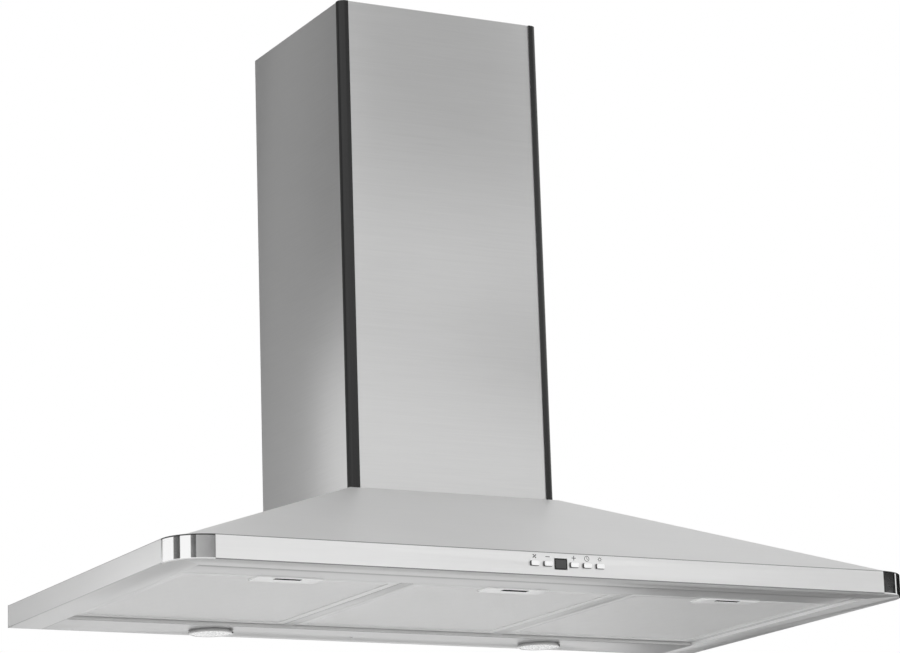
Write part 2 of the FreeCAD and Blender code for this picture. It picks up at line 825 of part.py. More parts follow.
def make_button(name, slot):
    body = new_body()
    proud = f"hood_depth + button_proud - {FLANGE_REAR}"
    pad(body, rectangle(body, "XZ_Plane", both("button_width / 2 + button_flange_rim"),
                        both("button_height / 2 + button_flange_rim")), "button_flange")
    pad(body, circles(body, "XZ_Plane", ("0", "0"), "stem_radius"), "stem_length", back=True)
    cap = pad(body, rectangle(body, "XZ_Plane", both("button_width / 2"), both("button_height / 2")), proud)
    doc.recompute()
    flange = size("button_flange")

    def long_edge(edge):
        return runs_along(edge, Vector(0, 1, 0)) and edge.BoundBox.YMin < -flange - 0.1

    corners = rounded(body, cap, "button_round", long_edge)
    front = -(size("button_proud") + size("band_sheet") + size("button_float") + flange)
    rounded(body, corners, "0.3 * button_round", lambda edge: edge.BoundBox.YMax < front + 0.01)
    seat(body, control_place(slot), FLANGE_REAR, "button_up")
    piece(f"button_{name}", body)


def make_display():
    body = new_body()
    window = pad(body, rectangle(body, "XZ_Plane", both("display_width / 2"), both("display_height / 2")),
                 "band_sheet + display_flange + display_proud")
    corners = rounded(body, window, "display_round", lambda edge: runs_along(edge, Vector(0, 1, 0)))
    pad(body, rectangle(body, "XZ_Plane", both("display_width / 2 + display_flange"),
                        both("display_height / 2 + display_flange")), "display_flange")
    seat(body, control_place(DISPLAY_SLOT), f"{BAND_INNER} - display_flange", "display_up")
    piece("display_window", body)


def make_control_unit():
    low = "band_sheet + housing_clearance"
    high = "band_height - band_sheet - housing_clearance"
    inner_half = "(housing_width / 2 - housing_wall)"
    shell = block(both("housing_width / 2"), (HOUSING_REAR, BAND_INNER), (low, high))
    hollow = block(both(inner_half), (f"{HOUSING_REAR} + housing_wall", "hood_depth"),
                   (f"{low} + housing_wall", f"{high} - housing_wall"))
    ledges = [block(sided(side, (f"{inner_half} - board_ledge", inner_half)),
                    (f"{HOUSING_REAR} + housing_wall", BOARD_REAR), (low, high)) for side in (-1, 1)]
    piece("control_housing", joined(cut(shell, hollow), *ledges))

    board = block(both(f"{inner_half} - seat_gap"), (BOARD_REAR, BOARD_FRONT),
                  (f"{low} + 2 * housing_wall", f"{high} - 2 * housing_wall"))
    switches = [block(moved(both("switch_size / 2"), control_place(slot)), (BOARD_FRONT, SWITCH_FRONT),
                      moved(both("switch_size / 2"), "button_up")) for slot in BUTTON_SLOTS.values()]
    readout = block(moved(both("display_width / 2"), control_place(DISPLAY_SLOT)),
                    (BOARD_FRONT, f"{BAND_INNER} - display_flange"),
                    moved(both("display_height / 2"), "display_up"))
    piece("control_board", joined(board, readout, *switches))


# ---------------------------------------------------------------------------------------------------------
# Fan unit
# ---------------------------------------------------------------------------------------------------------

VOLUTE_FRONT = "(volute_rear + volute_depth)"
MOTOR_PLATE_REAR = "(volute_rear - motor_plate)"
DISC_REAR = f"({MOTOR_PLATE_REAR} + boss_length + wheel_gap)"


def make_motor_box():
    outer = block(both(BOX_HALF), ("box_rear", BOX_FRONT), (CANOPY_TOP, BOX_TOP))
    flange = block(both(f"{BOX_HALF} + box_flange"), (f"box_rear - box_flange", f"{BOX_FRONT} + box_flange"),
                   (CANOPY_TOP, f"{CANOPY_TOP} + box_sheet"))
    hollow = block(both(f"{BOX_HALF} - box_sheet"), (f"box_rear + box_sheet", f"{BOX_FRONT} - box_sheet"),
                   (f"{CANOPY_TOP} - 1", f"{BOX_TOP} - box_sheet"))
    outlet = rod("collar_radius - collar_wall", "0", BOX_MIDDLE, past(f"{BOX_TOP} - box_sheet", BOX_TOP))
    holes = screw_holes(past(CANOPY_TOP, f"{CANOPY_TOP} + box_sheet"))
    piece("motor_box", cut(joined(outer, flange), hollow, outlet, *holes))

    screws = []
    head_up = f"{CANOPY_TOP} + box_sheet"
    for x, out in screw_places():
        head = rod("screw_head_radius", x, out, (head_up, f"{head_up} + screw_head_height"))
        shank = rod("screw_radius", x, out, (f"{head_up} - screw_length", head_up))
        screws.append(joined(head, shank))
    group = doc.addObject("Part::Compound", "Screws")
    group.Links = screws
    piece("motor_box_screws", group)


def volute(wall, near, far, top):
    """The spiral round the fan wheel and its upright mouth, inset by wall."""
    first = f"(volute_radius - {wall})"
    second = f"(volute_radius + volute_step - {wall})"
    third = f"(volute_radius + 2 * volute_step - {wall})"
    shifted_x = "wheel_x + volute_step"
    shifted_up = f"{WHEEL_UP} + volute_step"
    run = (near, far)
    right = f"{shifted_x} + {third}"
    return joined(
        rod(first, "wheel_x", run, WHEEL_UP, 90),
        rod(second, shifted_x, run, WHEEL_UP, 180),
        rod(third, shifted_x, run, shifted_up, 270),
        block(("wheel_x", right), run, (WHEEL_UP, f"{WHEEL_UP} + {first}")),
        block(("wheel_x", shifted_x), run, (f"{WHEEL_UP} - {second}", WHEEL_UP)),
        block((f"wheel_x + mouth_start + {wall}", right), run, (WHEEL_UP, top)),
    )


def make_blower():
    outer = volute("0", "volute_rear", VOLUTE_FRONT, f"{BOX_TOP} - box_sheet")
    inner = volute("volute_sheet", "volute_rear + volute_sheet", f"{VOLUTE_FRONT} - volute_sheet",
                   f"{BOX_TOP} + 1")
    inlet = rod("inlet_radius", "wheel_x", past(f"{VOLUTE_FRONT} - volute_sheet", VOLUTE_FRONT), WHEEL_UP)
    opening = rod("motor_opening", "wheel_x", past("volute_rear", "volute_rear + volute_sheet"), WHEEL_UP)
    mouth_right = "wheel_x + 3 * volute_step + volute_radius"
    flange = block(("wheel_x + mouth_start - mouth_flange", f"{mouth_right} + mouth_flange"),
                   ("volute_rear - mouth_flange", f"{VOLUTE_FRONT} + mouth_flange"),
                   (f"{BOX_TOP} - box_sheet - volute_sheet", f"{BOX_TOP} - box_sheet"))
    piece("blower_housing", cut(joined(outer, flange), inner, inlet, opening))

    plate = rod("motor_plate_radius", "wheel_x", (MOTOR_PLATE_REAR, "volute_rear"), WHEEL_UP)
    plate_hole = rod("boss_radius + boss_play", "wheel_x", past(MOTOR_PLATE_REAR, "volute_rear"), WHEEL_UP)
    piece("motor_plate", cut(plate, plate_hole))

    motor = [
        ("shaft_radius + shaft_play", "boss_length"),
        ("boss_radius", "boss_length"),
        ("boss_radius", "0"),
        ("motor_radius - 2 * motor_rib", "0"),
        ("motor_radius", "0 - 2 * motor_rib"),
        ("motor_radius", f"0 - 0.3 * motor_length"),
        ("motor_radius - motor_rib", f"0 - 0.3 * motor_length - motor_rib"),
        ("motor_radius - motor_rib", f"0 - 0.7 * motor_length + motor_rib"),
        ("motor_radius", f"0 - 0.7 * motor_length"),
        ("motor_radius", f"2 * motor_rib - motor_length"),
        ("motor_radius - 2 * motor_rib", f"0 - motor_length"),
        ("0", f"0 - motor_length"),
        ("0", "0 - shaft_seat"),
        ("shaft_radius + shaft_play", "0 - shaft_seat"),
    ]
    facing_out = [(radius, f"0 - ({along})") for radius, along in motor]
    piece("motor", turned("XY_Plane", facing_out, "wheel_x", MOTOR_PLATE_REAR, WHEEL_UP))

    shaft_rear = f"{MOTOR_PLATE_REAR} - shaft_seat + seat_gap"
    shaft_out = (shaft_rear, f"{shaft_rear} + shaft_length")
    piece("motor_shaft", rod("shaft_radius", "wheel_x", shaft_out, WHEEL_UP))


def make_impeller():
    body = new_body()
    wheel = [
        ("shaft_radius + 0.4 * shaft_play", "0"),
        ("wheel_radius", "0"),
        ("wheel_radius", "0 - wheel_disc"),
        ("hub_radius", "0 - wheel_disc"),
        ("hub_radius", "0 - hub_depth"),
        ("shaft_radius + 0.4 * shaft_play", "0 - hub_depth"),
    ]
    revolve(body, "XY_Plane", wheel)
    inner = "wheel_inner_radius + blade_thickness"
    outer = "wheel_radius - blade_thickness"
    blade_outline = outline(body, "XZ_Plane", [
        (inner, "0"),
        (outer, "blade_lean"),
        (outer, "blade_lean + blade_thickness"),
        (inner, "blade_thickness"),
    ])
    blade = pad(body, blade_outline, "wheel_depth - wheel_ring")
    doc.recompute()
    ring_of_blades = body.newObject("PartDesign::PolarPattern", "Blades")
    ring_of_blades.Originals = [blade]
    ring_of_blades.Axis = (blade_outline, ["N_Axis"])
    ring_of_blades.Angle = 360
    tie(ring_of_blades, Occurrences="wheel_blades")
    body.Tip = ring_of_blades
    doc.recompute()
    ring_outline = circles(body, "XZ_Plane", ("0", "0"), "wheel_inner_radius", "wheel_radius")
    tie(ring_outline, AttachmentOffset__Base__z="wheel_depth - wheel_ring")
    pad(body, ring_outline, "wheel_ring")
    seat(body, "wheel_x", DISC_REAR, WHEEL_UP)
    piece("impeller", body)


def knuckle_spans(side):
    """Where the hinge tubes of a flap lie along the rod: the two flaps' tubes take turns."""
    reach = "(collar_radius - collar_wall - knuckle_inset)"
    spans = [(f"0 - {reach}", f"0 - {reach} / 2 - knuckle_spacing"), ("knuckle_spacing", f"{reach} / 2")]
    return spans if side > 0 else [mirrored(span) for span in spans]


def make_outlet():
    middle = BOX_MIDDLE
    rod_up = f"({BOX_TOP} + flap_rod_up)"
    bore = "(collar_radius - collar_wall)"
    flange = rod("collar_flange", "0", middle, (BOX_TOP, f"{BOX_TOP} + collar_sheet"))
    spigot = rod("collar_radius", "0", middle, (BOX_TOP, COLLAR_TOP))
    through = rod(bore, "0", middle, past(BOX_TOP, COLLAR_TOP))
    rod_hole = rod("flap_rod_radius + flap_play / 2", past(*both("collar_radius")), middle, rod_up)
    stop_top = f"({rod_up} - flap_knuckle - seat_gap)"
    stop_up = (f"{stop_top} - collar_wall", stop_top)
    stop_ring = cut(rod(bore, "0", middle, stop_up), rod(f"{bore} - stop_width", "0", middle, past(*stop_up)))
    piece("outlet_collar", joined(cut(joined(flange, spigot), through, rod_hole), stop_ring))
    piece("damper_rod", rod("flap_rod_radius", both("collar_radius - flap_play"), middle, rod_up))

    for name, side in (("front", 1), ("rear", -1)):
        plate_up = (f"{rod_up} - flap_knuckle", f"{rod_up} - flap_knuckle + flap_thickness")
        disc = rod(f"{bore} - flap_side_gap", "0", middle, plate_up)
        half_out = moved(sided(side, ("flap_edge", "collar_radius")), middle)
        half = block(both("collar_radius"), half_out, plate_up)
        plate = doc.addObject("Part::Common", "HalfDisc")
        plate.Base = disc
        plate.Tool = half
        tubes = [rod("flap_knuckle", span, middle, rod_up) for span in knuckle_spans(side)]
        web_out = sided(side, ("0", "flap_edge + flap_thickness"))
        webs = [block(span, moved(web_out, middle), plate_up) for span in knuckle_spans(side)]
        bore_hole = rod("flap_rod_radius + flap_play", both("collar_radius"), middle, rod_up)
        piece(f"damper_flap_{name}", cut(joined(plate, *tubes, *webs), bore_hole))


# ---------------------------------------------------------------------------------------------------------
# Electrics
# ---------------------------------------------------------------------------------------------------------

def make_electrics():
    supply = block(moved(both("supply_width / 2"), "supply_x"), ("back_sheet", "back_sheet + supply_depth"),
                   ("supply_up", "supply_up + supply_height"))
    piece("electrical_box", supply)

    span = moved(both("capacitor_length / 2"), "capacitor_x")
    can_out = "(back_sheet + capacitor_foot / 2 + capacitor_radius)"
    can = rod("capacitor_radius", span, can_out, "capacitor_up")
    foot = block(moved(both("capacitor_length / 3"), "capacitor_x"), ("back_sheet", can_out),
                 moved(both("capacitor_radius / 2"), "capacitor_up"))
    piece("capacitor", joined(can, foot))

    gland = [
        ("gland_bore", "0 - canopy_sheet - gland_nut"),
        ("gland_nut_radius", "0 - canopy_sheet - gland_nut"),
        ("gland_nut_radius", "0 - canopy_sheet"),
        ("gland_neck", "0 - canopy_sheet"),
        ("gland_neck", "0"),
        ("gland_collar", "0"),
        ("gland_collar", "0.5 * gland_top"),
        ("0.8 * gland_collar", "gland_top"),
        ("gland_bore", "gland_top"),
    ]
    piece("cable_gland", turned("XZ_Plane", gland, f"0 - {GLAND_X}", "gland_out", CANOPY_TOP))


# ---------------------------------------------------------------------------------------------------------
# Chimney
# ---------------------------------------------------------------------------------------------------------

def make_chimney():
    height = (CANOPY_TOP, CHIMNEY_TOP)
    edge = "(trim_leg - trim_groove)"
    face = "(trim_skin + chimney_sheet)"
    piece("chimney_front_panel", block(both(f"{CHIMNEY_HALF} - {edge}"),
                                       (f"chimney_depth - {face}", "chimney_depth - trim_skin"), height))
    for name, side in names_of_sides():
        outer = f"{CHIMNEY_HALF} - trim_skin"
        sheet = block(sided(side, (f"{CHIMNEY_HALF} - {face}", outer)),
                      ("0", f"chimney_depth - {edge}"), height)
        rear = block(sided(side, (f"{outer} - chimney_return", outer)), ("0", "chimney_sheet"), height)
        piece(f"chimney_{name}_panel", joined(sheet, rear))


def make_chimney_trim(name, side):
    """Rounded corner moulding with a groove for the edge of each panel."""
    body = new_body()
    edge = "trim_leg - trim_groove"
    deep = "trim_skin + chimney_sheet"
    half = [("trim_leg", "0"), ("trim_leg", "trim_skin"), (edge, "trim_skin"), (edge, deep),
            ("trim_leg", deep), ("trim_leg", TRIM_DEPTH)]
    corners = [("0", "0")] + half + [(TRIM_DEPTH, TRIM_DEPTH)] + [(y, x) for x, y in reversed(half)]
    placed = [(f"{-side} * ({x})", y) for x, y in corners]
    moulding = pad(body, outline(body, "XY_Plane", placed), "chimney_height")
    doc.recompute()

    def outer_corner(edge):
        middle = edge.CenterOfMass
        return runs_along(edge, Vector(0, 0, 1)) and abs(middle.x) < 0.01 and abs(middle.y) < 0.01

    rounded(body, moulding, "trim_round", outer_corner)
    seat(body, f"{side} * {CHIMNEY_HALF}", "chimney_depth", CANOPY_TOP)
    piece(f"chimney_trim_{name}", body)


def make_flue():
    body = new_body()
    inner_half = f"{FLUE_HALF} - flue_sheet"
    front, inner_front, rear = f"0 - {FLUE_OUT}", f"flue_sheet - {FLUE_OUT}", "0 - flue_rear"
    right = [(FLUE_HALF, front), (FLUE_HALF, rear), (inner_half, rear), (inner_half, inner_front)]
    left = [(f"0 - ({x})", y) for x, y in reversed(right)]
    pad(body, outline(body, "XY_Plane", right + left), f"{FLUE_TOP} - {CANOPY_TOP}")
    seat(body, "0", "0", CANOPY_TOP)
    piece("upper_flue", body)

    top = f"({FLUE_TOP} - bracket_drop)"
    height = (f"{top} - bracket_height", top)
    parts = [block(both("bracket_width / 2"), ("0", "bracket_sheet"), height)]
    for side in (-1, 1):
        bend = ("bracket_width / 2 - bracket_sheet", "bracket_width / 2")
        ear = (f"{inner_half} - bracket_sheet", inner_half)
        parts.append(block(sided(side, bend), ("0", "bracket_joggle"), height))
        parts.append(block(sided(side, (bend[0], inner_half)),
                           ("bracket_joggle - bracket_sheet", "bracket_joggle"), height))
        parts.append(block(sided(side, ear), ("bracket_joggle - bracket_sheet", "bracket_reach"), height))
    holes = [rod("bracket_hole_radius", f"{side} * bracket_hole_spacing / 2", past("0", "bracket_sheet"),
                 f"{top} - bracket_height / 2") for side in (-1, 1)]
    piece("flue_bracket", cut(joined(*parts), *holes))


# ---------------------------------------------------------------------------------------------------------
# The hood
# ---------------------------------------------------------------------------------------------------------

make_canopy()
make_front_band()
make_rails()
make_lamp_panel()
for name, side in names_of_sides():
    make_side_band(f"{name}_band", side)
    make_corner_cap(f"corner_cap_{name}", side)
    make_lamp(name, side)
    make_chimney_trim(name, side)
for number in (1, 2, 3):
    make_filter(number)
for name, slot in BUTTON_SLOTS.items():
    make_button(name, slot)
make_display()
make_control_unit()
make_motor_box()
make_blower()
make_impeller()
make_outlet()
make_electrics()
make_chimney()
make_flue()
doc.recompute()

faults = [f"{item.Label}: {item.State}" for item in doc.Objects if {"Invalid", "Error"} & set(item.State)]
faults += [f"{item.Label}: empty or invalid shape" for item in pieces
           if item.Shape.isNull() or not item.Shape.isValid() or not item.Shape.Solids]
if faults:
    raise RuntimeError("; ".join(faults))

os.makedirs("parts", exist_ok=True)
for item in pieces:
    item.Shape.exportStep(f"parts/{item.Label}.step")
print(len(pieces), "pieces")
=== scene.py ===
# %% [markdown]
# # Dressing a chimney range hood
#
# The hood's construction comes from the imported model: every sheet, filter, lamp and button is already in
# its place, in metres, with +X to the right, -Y to the front and +Z up. This lesson gives each of those
# pieces its finish, adds the fine things that belong to the looks, and sets up the studio.
#
# We load the frame first, because all places below are worked out from it.

# %% The frame
import json
import math
from collections import Counter

import bpy
from mathutils import Matrix, Vector

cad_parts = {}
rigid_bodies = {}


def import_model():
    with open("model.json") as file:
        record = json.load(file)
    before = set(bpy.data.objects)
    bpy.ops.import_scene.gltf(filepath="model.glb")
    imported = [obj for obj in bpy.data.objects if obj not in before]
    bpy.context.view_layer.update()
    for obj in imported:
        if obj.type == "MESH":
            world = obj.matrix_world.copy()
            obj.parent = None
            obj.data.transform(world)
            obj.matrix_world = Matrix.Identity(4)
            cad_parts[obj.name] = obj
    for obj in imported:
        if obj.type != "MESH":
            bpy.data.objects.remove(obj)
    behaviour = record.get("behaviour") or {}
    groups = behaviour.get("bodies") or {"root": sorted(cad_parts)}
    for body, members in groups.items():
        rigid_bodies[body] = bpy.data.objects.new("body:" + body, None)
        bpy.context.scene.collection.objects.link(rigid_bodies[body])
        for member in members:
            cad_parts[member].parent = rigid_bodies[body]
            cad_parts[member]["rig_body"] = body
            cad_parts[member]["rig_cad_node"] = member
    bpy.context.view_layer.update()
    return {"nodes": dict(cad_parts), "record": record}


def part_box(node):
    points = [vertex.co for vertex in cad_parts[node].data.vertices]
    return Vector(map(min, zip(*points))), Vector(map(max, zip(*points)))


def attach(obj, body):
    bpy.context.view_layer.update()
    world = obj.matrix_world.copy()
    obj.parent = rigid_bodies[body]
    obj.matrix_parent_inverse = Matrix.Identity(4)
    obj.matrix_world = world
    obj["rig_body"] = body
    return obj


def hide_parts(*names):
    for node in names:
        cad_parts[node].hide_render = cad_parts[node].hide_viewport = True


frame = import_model()
nodes = frame["nodes"]
scene = bpy.context.scene
MM = 0.001

# %% [markdown]
# ## The camera
#
# The photograph was taken from the front left and from below the rim. Its place was found by fitting the
# edges of the rim, the filters and the chimney. A camera in Blender looks along its own -Z, so we build its
# axes from three turns: yaw to the right, pitch upwards and a slight roll.

# %% Camera
PHOTO_WIDTH = 900
PHOTO_HEIGHT = 653
SENSOR_WIDTH = 36
CAMERA_PLACE = Vector((-1.7074, -3.5115, -0.6408))
CAMERA_YAW = math.radians(27.81)
CAMERA_PITCH = math.radians(13.59)
CAMERA_ROLL = math.radians(-1.89)
FOCAL_PIXELS = 3272.7
PRINCIPAL_POINT = (461.0, 324.8)
FARTHEST_SEEN = 60


def make_camera():
    camera = bpy.data.objects.new("camera", bpy.data.cameras.new("camera"))
    scene.collection.objects.link(camera)
    forward = Vector((
        math.sin(CAMERA_YAW) * math.cos(CAMERA_PITCH),
        math.cos(CAMERA_YAW) * math.cos(CAMERA_PITCH),
        math.sin(CAMERA_PITCH),
    ))
    level_right = Vector((math.cos(CAMERA_YAW), -math.sin(CAMERA_YAW), 0))
    level_up = level_right.cross(forward)
    right = level_right * math.cos(CAMERA_ROLL) + level_up * math.sin(CAMERA_ROLL)
    up = level_up * math.cos(CAMERA_ROLL) - level_right * math.sin(CAMERA_ROLL)
    axes = Matrix((right, up, -forward)).transposed().to_4x4()
    camera.matrix_world = Matrix.Translation(CAMERA_PLACE) @ axes
    camera.data.sensor_width = SENSOR_WIDTH
    camera.data.lens = FOCAL_PIXELS / PHOTO_WIDTH * SENSOR_WIDTH
    camera.data.shift_x = (PHOTO_WIDTH / 2 - PRINCIPAL_POINT[0]) / PHOTO_WIDTH
    camera.data.shift_y = (PRINCIPAL_POINT[1] - PHOTO_HEIGHT / 2) / PHOTO_WIDTH
    camera.data.clip_end = FARTHEST_SEEN
    scene.camera = camera


make_camera()
print("lens", round(scene.camera.data.lens, 1), "mm")

# %% [markdown]
# ## Shader maths as expressions
#
# A node tree is easier to read as a formula. Flow wraps one output socket and turns +, -, * and / into Math
# nodes, with numbers allowed on either side of all but the last.

# %% Flow
class Flow:
    """A number, colour or shader that runs from one node to the next."""

    def __init__(self, finish, socket):
        self.finish = finish
        self.socket = socket

    def __add__(self, other):
        return self.finish.math("ADD", self, other)

    def __sub__(self, other):
        return self.finish.math("SUBTRACT", self, other)

    def __rsub__(self, other):
        return self.finish.math("SUBTRACT", other, self)

    def __mul__(self, other):
        return self.finish.math("MULTIPLY", self, other)

    def __truediv__(self, other):
        return self.finish.math("DIVIDE", self, other)

    __radd__ = __add__
    __rmul__ = __mul__


print("flows can be added, subtracted, multiplied and divided")

# %% [markdown]
# Finish makes a material and fills its node tree. All nodes come from one method: it sets a node's settings
# first, because some of them change which sockets it has, and then feeds the sockets with numbers, colours
# or flows. The other methods are short names for the nodes that every finish uses.

# %% Finish
class Finish:
    """A material under construction, whose Principled shader is fed by socket name."""

    def __init__(self, name, **sockets):
        self.material = bpy.data.materials.new(name)
        self.material.use_nodes = True
        self.tree = self.material.node_tree
        self.shader = self.tree.nodes["Principled BSDF"]
        self.shade(**sockets)

    def feed(self, socket, value):
        if isinstance(value, Flow):
            self.tree.links.new(value.socket, socket)
        elif socket.type == "RGBA":
            socket.default_value = (*value, 1)
        else:
            socket.default_value = value

    def shade(self, **sockets):
        for name, value in sockets.items():
            self.feed(self.shader.inputs[name.replace("_", " ")], value)

    def surface(self, flow):
        """Sends a shader to the material's output."""
        self.feed(self.tree.nodes["Material Output"].inputs["Surface"], flow)

    def node(self, kind, out=0, feed=None, **settings):
        made = self.tree.nodes.new("ShaderNode" + kind)
        for name, value in settings.items():
            setattr(made, name, value)
        for socket, value in (feed or {}).items():
            self.feed(made.inputs[socket], value)
        return Flow(self, made.outputs[out])

    def math(self, operation, first, second=0.0, clamp=False):
        return self.node("Math", feed={0: first, 1: second}, operation=operation, use_clamp=clamp)

    def place(self):
        return self.node("TexCoord", out="Object")

    def along(self, axis):
        return self.node("SeparateXYZ", out=axis, feed={0: self.place()})

    def scaled(self, vector, scale):
        return self.node("VectorMath", feed={0: vector, 1: scale}, operation="MULTIPLY")

    def noise(self, vector, scale, detail=3.0):
        feed = {"Vector": vector, "Scale": scale, "Detail": detail, "Roughness": 0.55}
        return self.node("TexNoise", feed=feed)

    def between(self, value, low, high):
        """Maps a value of 0 to 1 onto low to high, clamped."""
        return self.node("MapRange", feed={"Value": value, "To Min": low, "To Max": high})

    def mixed(self, share, first, second):
        """Mixes two colours. The Mix node's colour sockets are its seventh and eighth."""
        return self.node("Mix", out=2, feed={0: share, 6: first, 7: second}, data_type="RGBA")

    def tinted(self, red, green, blue):
        return self.node("CombineColor", feed={"Red": red, "Green": green, "Blue": blue})

    def bumped(self, height, distance, strength):
        feed = {"Height": height, "Distance": distance, "Strength": strength}
        self.shade(Normal=self.node("Bump", feed=feed))


def grey(level):
    return (level, level, level)


print("a mid grey is", grey(0.5))

# %% [markdown]
# ## Brushed steel
#
# Brushed sheet is full of fine scratches, all one way. Noise stretched along one axis gives them: it changes
# slowly along the grain and quickly across it. One noise makes the single scratches, and a second, broader
# one makes the bands a few millimetres wide that catch the light together. Both change the roughness, the
# colour and the bump a little.
#
# A sheet that lies in a recess is dim next to the recess's edge, where little light reaches it.

# %% Brushed steel
ALONG = 14.0
ACROSS_FINE = 2600.0
ACROSS_BROAD = 420.0
SLOW_AXES = {"horizontal": (True, True), "x": (True, False), "y": (False, True)}
SCRATCH_DEPTH = 0.06 * MM
SCRATCH_STRENGTH = 0.35
RECESS_DIM = 0.45
RECESS_EDGE = -0.440
RECESS_SHADOW = (RECESS_EDGE, RECESS_EDGE + 12 * MM)


def brushed(name, tone, roughness, grain="horizontal", metallic=1.0, contrast=0.10, shadow=None):
    """Grain says which way the scratches run, and shadow from where to where a recess dims the sheet."""
    finish = Finish(name, Metallic=metallic)
    slow_x, slow_y = SLOW_AXES[grain]

    def stretched(across):
        return (ALONG if slow_x else across, ALONG if slow_y else across, across)

    place = finish.place()
    fine = finish.noise(finish.scaled(place, stretched(ACROSS_FINE)), 1.0, detail=2.0)
    broad = finish.noise(finish.scaled(place, stretched(ACROSS_BROAD)), 1.0)
    cloud = finish.noise(place, 5.0, detail=2.0)
    streak = fine * 0.5 + broad * 0.5
    tint = finish.between(streak, tone * (1 - contrast), tone * (1 + contrast))
    tint = tint * finish.between(cloud, 0.97, 1.03)
    if shadow:
        front, rear = shadow
        tint = tint * finish.between((finish.along("Y") - front) / (rear - front), RECESS_DIM, 1.0)
    finish.shade(Base_Color=finish.tinted(tint, tint, tint * 0.997),
                 Roughness=finish.between(streak, roughness - 0.08, roughness + 0.10))
    finish.bumped(fine * 0.6 + broad * 0.4, SCRATCH_DEPTH, SCRATCH_STRENGTH)
    return finish.material


BRUSHED_STEELS = {
    "canopy_steel": brushed("canopy_steel", 0.80, 0.48, metallic=0.5, contrast=0.04),
    "chimney_steel": brushed("chimney_steel", 0.67, 0.32, metallic=0.9, contrast=0.08),
    "front_rim": brushed("front_rim", 0.90, 0.33, "x", metallic=0.9, contrast=0.04),
    "side_rim": brushed("side_rim", 0.92, 0.38, "y", metallic=0.5, contrast=0.03),
    # The flanges are the rim's own sheet, in darker copies of its steel: painted shade.
    "front_flange_shaded": brushed("front_flange_shaded", 0.63, 0.33, "x", metallic=0.9, contrast=0.04),
    "side_flange_shaded": brushed("side_flange_shaded", 0.65, 0.33, "y", metallic=0.9, contrast=0.04),
    "rail_steel": brushed("rail_steel", 0.65, 0.33, "x", metallic=0.9, contrast=0.04, shadow=RECESS_SHADOW),
    "divider_steel": brushed("divider_steel", 0.68, 0.35, "y", metallic=0.85, contrast=0.04),
    "filter_aluminium": brushed("filter_aluminium", 0.80, 0.38, "x", metallic=0.75, contrast=0.03),
    "strand_metal": brushed("strand_metal", 0.98, 0.38, "x", metallic=0.75, contrast=0.02),
    "handle_metal": brushed("handle_metal", 0.97, 0.34, "x", metallic=0.3, contrast=0.02),
}
print("brushed", len(BRUSHED_STEELS))

# %% [markdown]
# ## Polished steel
#
# The corner caps are mirror-polished. A perfect mirror looks drawn, so a faint haze varies the roughness. A
# cap's upper fold turns away from the light, so it is painted dark, as painted shade; its flat top stays
# bright.

# %% Polished steel
CAP_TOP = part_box("corner_cap_left")[1].z
# Between these heights the cap's upper fold is painted dark: painted shade.
CAP_FOLD_SHADE = (CAP_TOP - 2.0 * MM, CAP_TOP - 0.2 * MM)
FOLD_BLEND = 0.5 * MM
FOLD_SHADE_TONE = 0.10


def polished(name, tone, roughness, fold=None):
    """Fold is from which height to which the colour is painted dark, as painted shade."""
    finish = Finish(name, Metallic=1.0)
    haze = finish.noise(finish.place(), 90.0, detail=4.0)
    colour = grey(tone)
    if fold:
        height = finish.along("Z")
        begun = finish.between((height - fold[0]) / FOLD_BLEND, 0.0, 1.0)
        share = begun * finish.math("LESS_THAN", height, fold[1])
        colour = finish.mixed(share, grey(tone), grey(FOLD_SHADE_TONE))
    finish.shade(Base_Color=colour, Roughness=finish.between(haze, roughness, roughness + 0.05))
    return finish.material


POLISHED_METALS = {
    "polished_steel": polished("polished_steel", 0.92, 0.05),
    # The caps' steel, with painted shade along the upper fold.
    "cap_steel_fold_shade": polished("cap_steel_fold_shade", 0.92, 0.05, fold=CAP_FOLD_SHADE),
    "bezel_steel": polished("bezel_steel", 0.52, 0.10),
    # A bright finish for bevelled edges: a painted highlight.
    "edge_highlight": polished("edge_highlight", 0.92, 0.22),
    # Darker finishes for folds and bevelled edges: painted shade.
    "fold_shadow": polished("fold_shadow", 0.30, 0.30),
    "side_fold_shade": polished("side_fold_shade", 0.62, 0.30),
    "screw_steel": polished("screw_steel", 0.55, 0.22),
    "reflector_aluminium": polished("reflector_aluminium", 0.85, 0.12),
}
print("polished", len(POLISHED_METALS))

# %% [markdown]
# ## Plastic, lacquer and print
#
# Moulded plastic has a very fine skin, which shows as a slight change of gloss. The same recipe serves for
# lacquered metal and for printed paint. The button caps catch much more light than the steel around them,
# so a weak glow is painted into them, as painted light.

# %% Plastic and lacquer
COAT_ROUGHNESS = 0.05


def moulded(name, tone, roughness, grain=700.0, glow=0.0):
    finish = Finish(name, Metallic=0.0, Coat_Roughness=COAT_ROUGHNESS, Emission_Strength=glow)
    skin = finish.noise(finish.place(), grain)
    cloud = finish.noise(finish.place(), 18.0, detail=2.0)
    finish.shade(Base_Color=finish.mixed(cloud, grey(0.9 * tone), grey(tone)),
                 Roughness=finish.between(skin, roughness - 0.05, roughness + 0.05))
    finish.bumped(skin, 0.02 * MM, 0.5)
    return finish.material


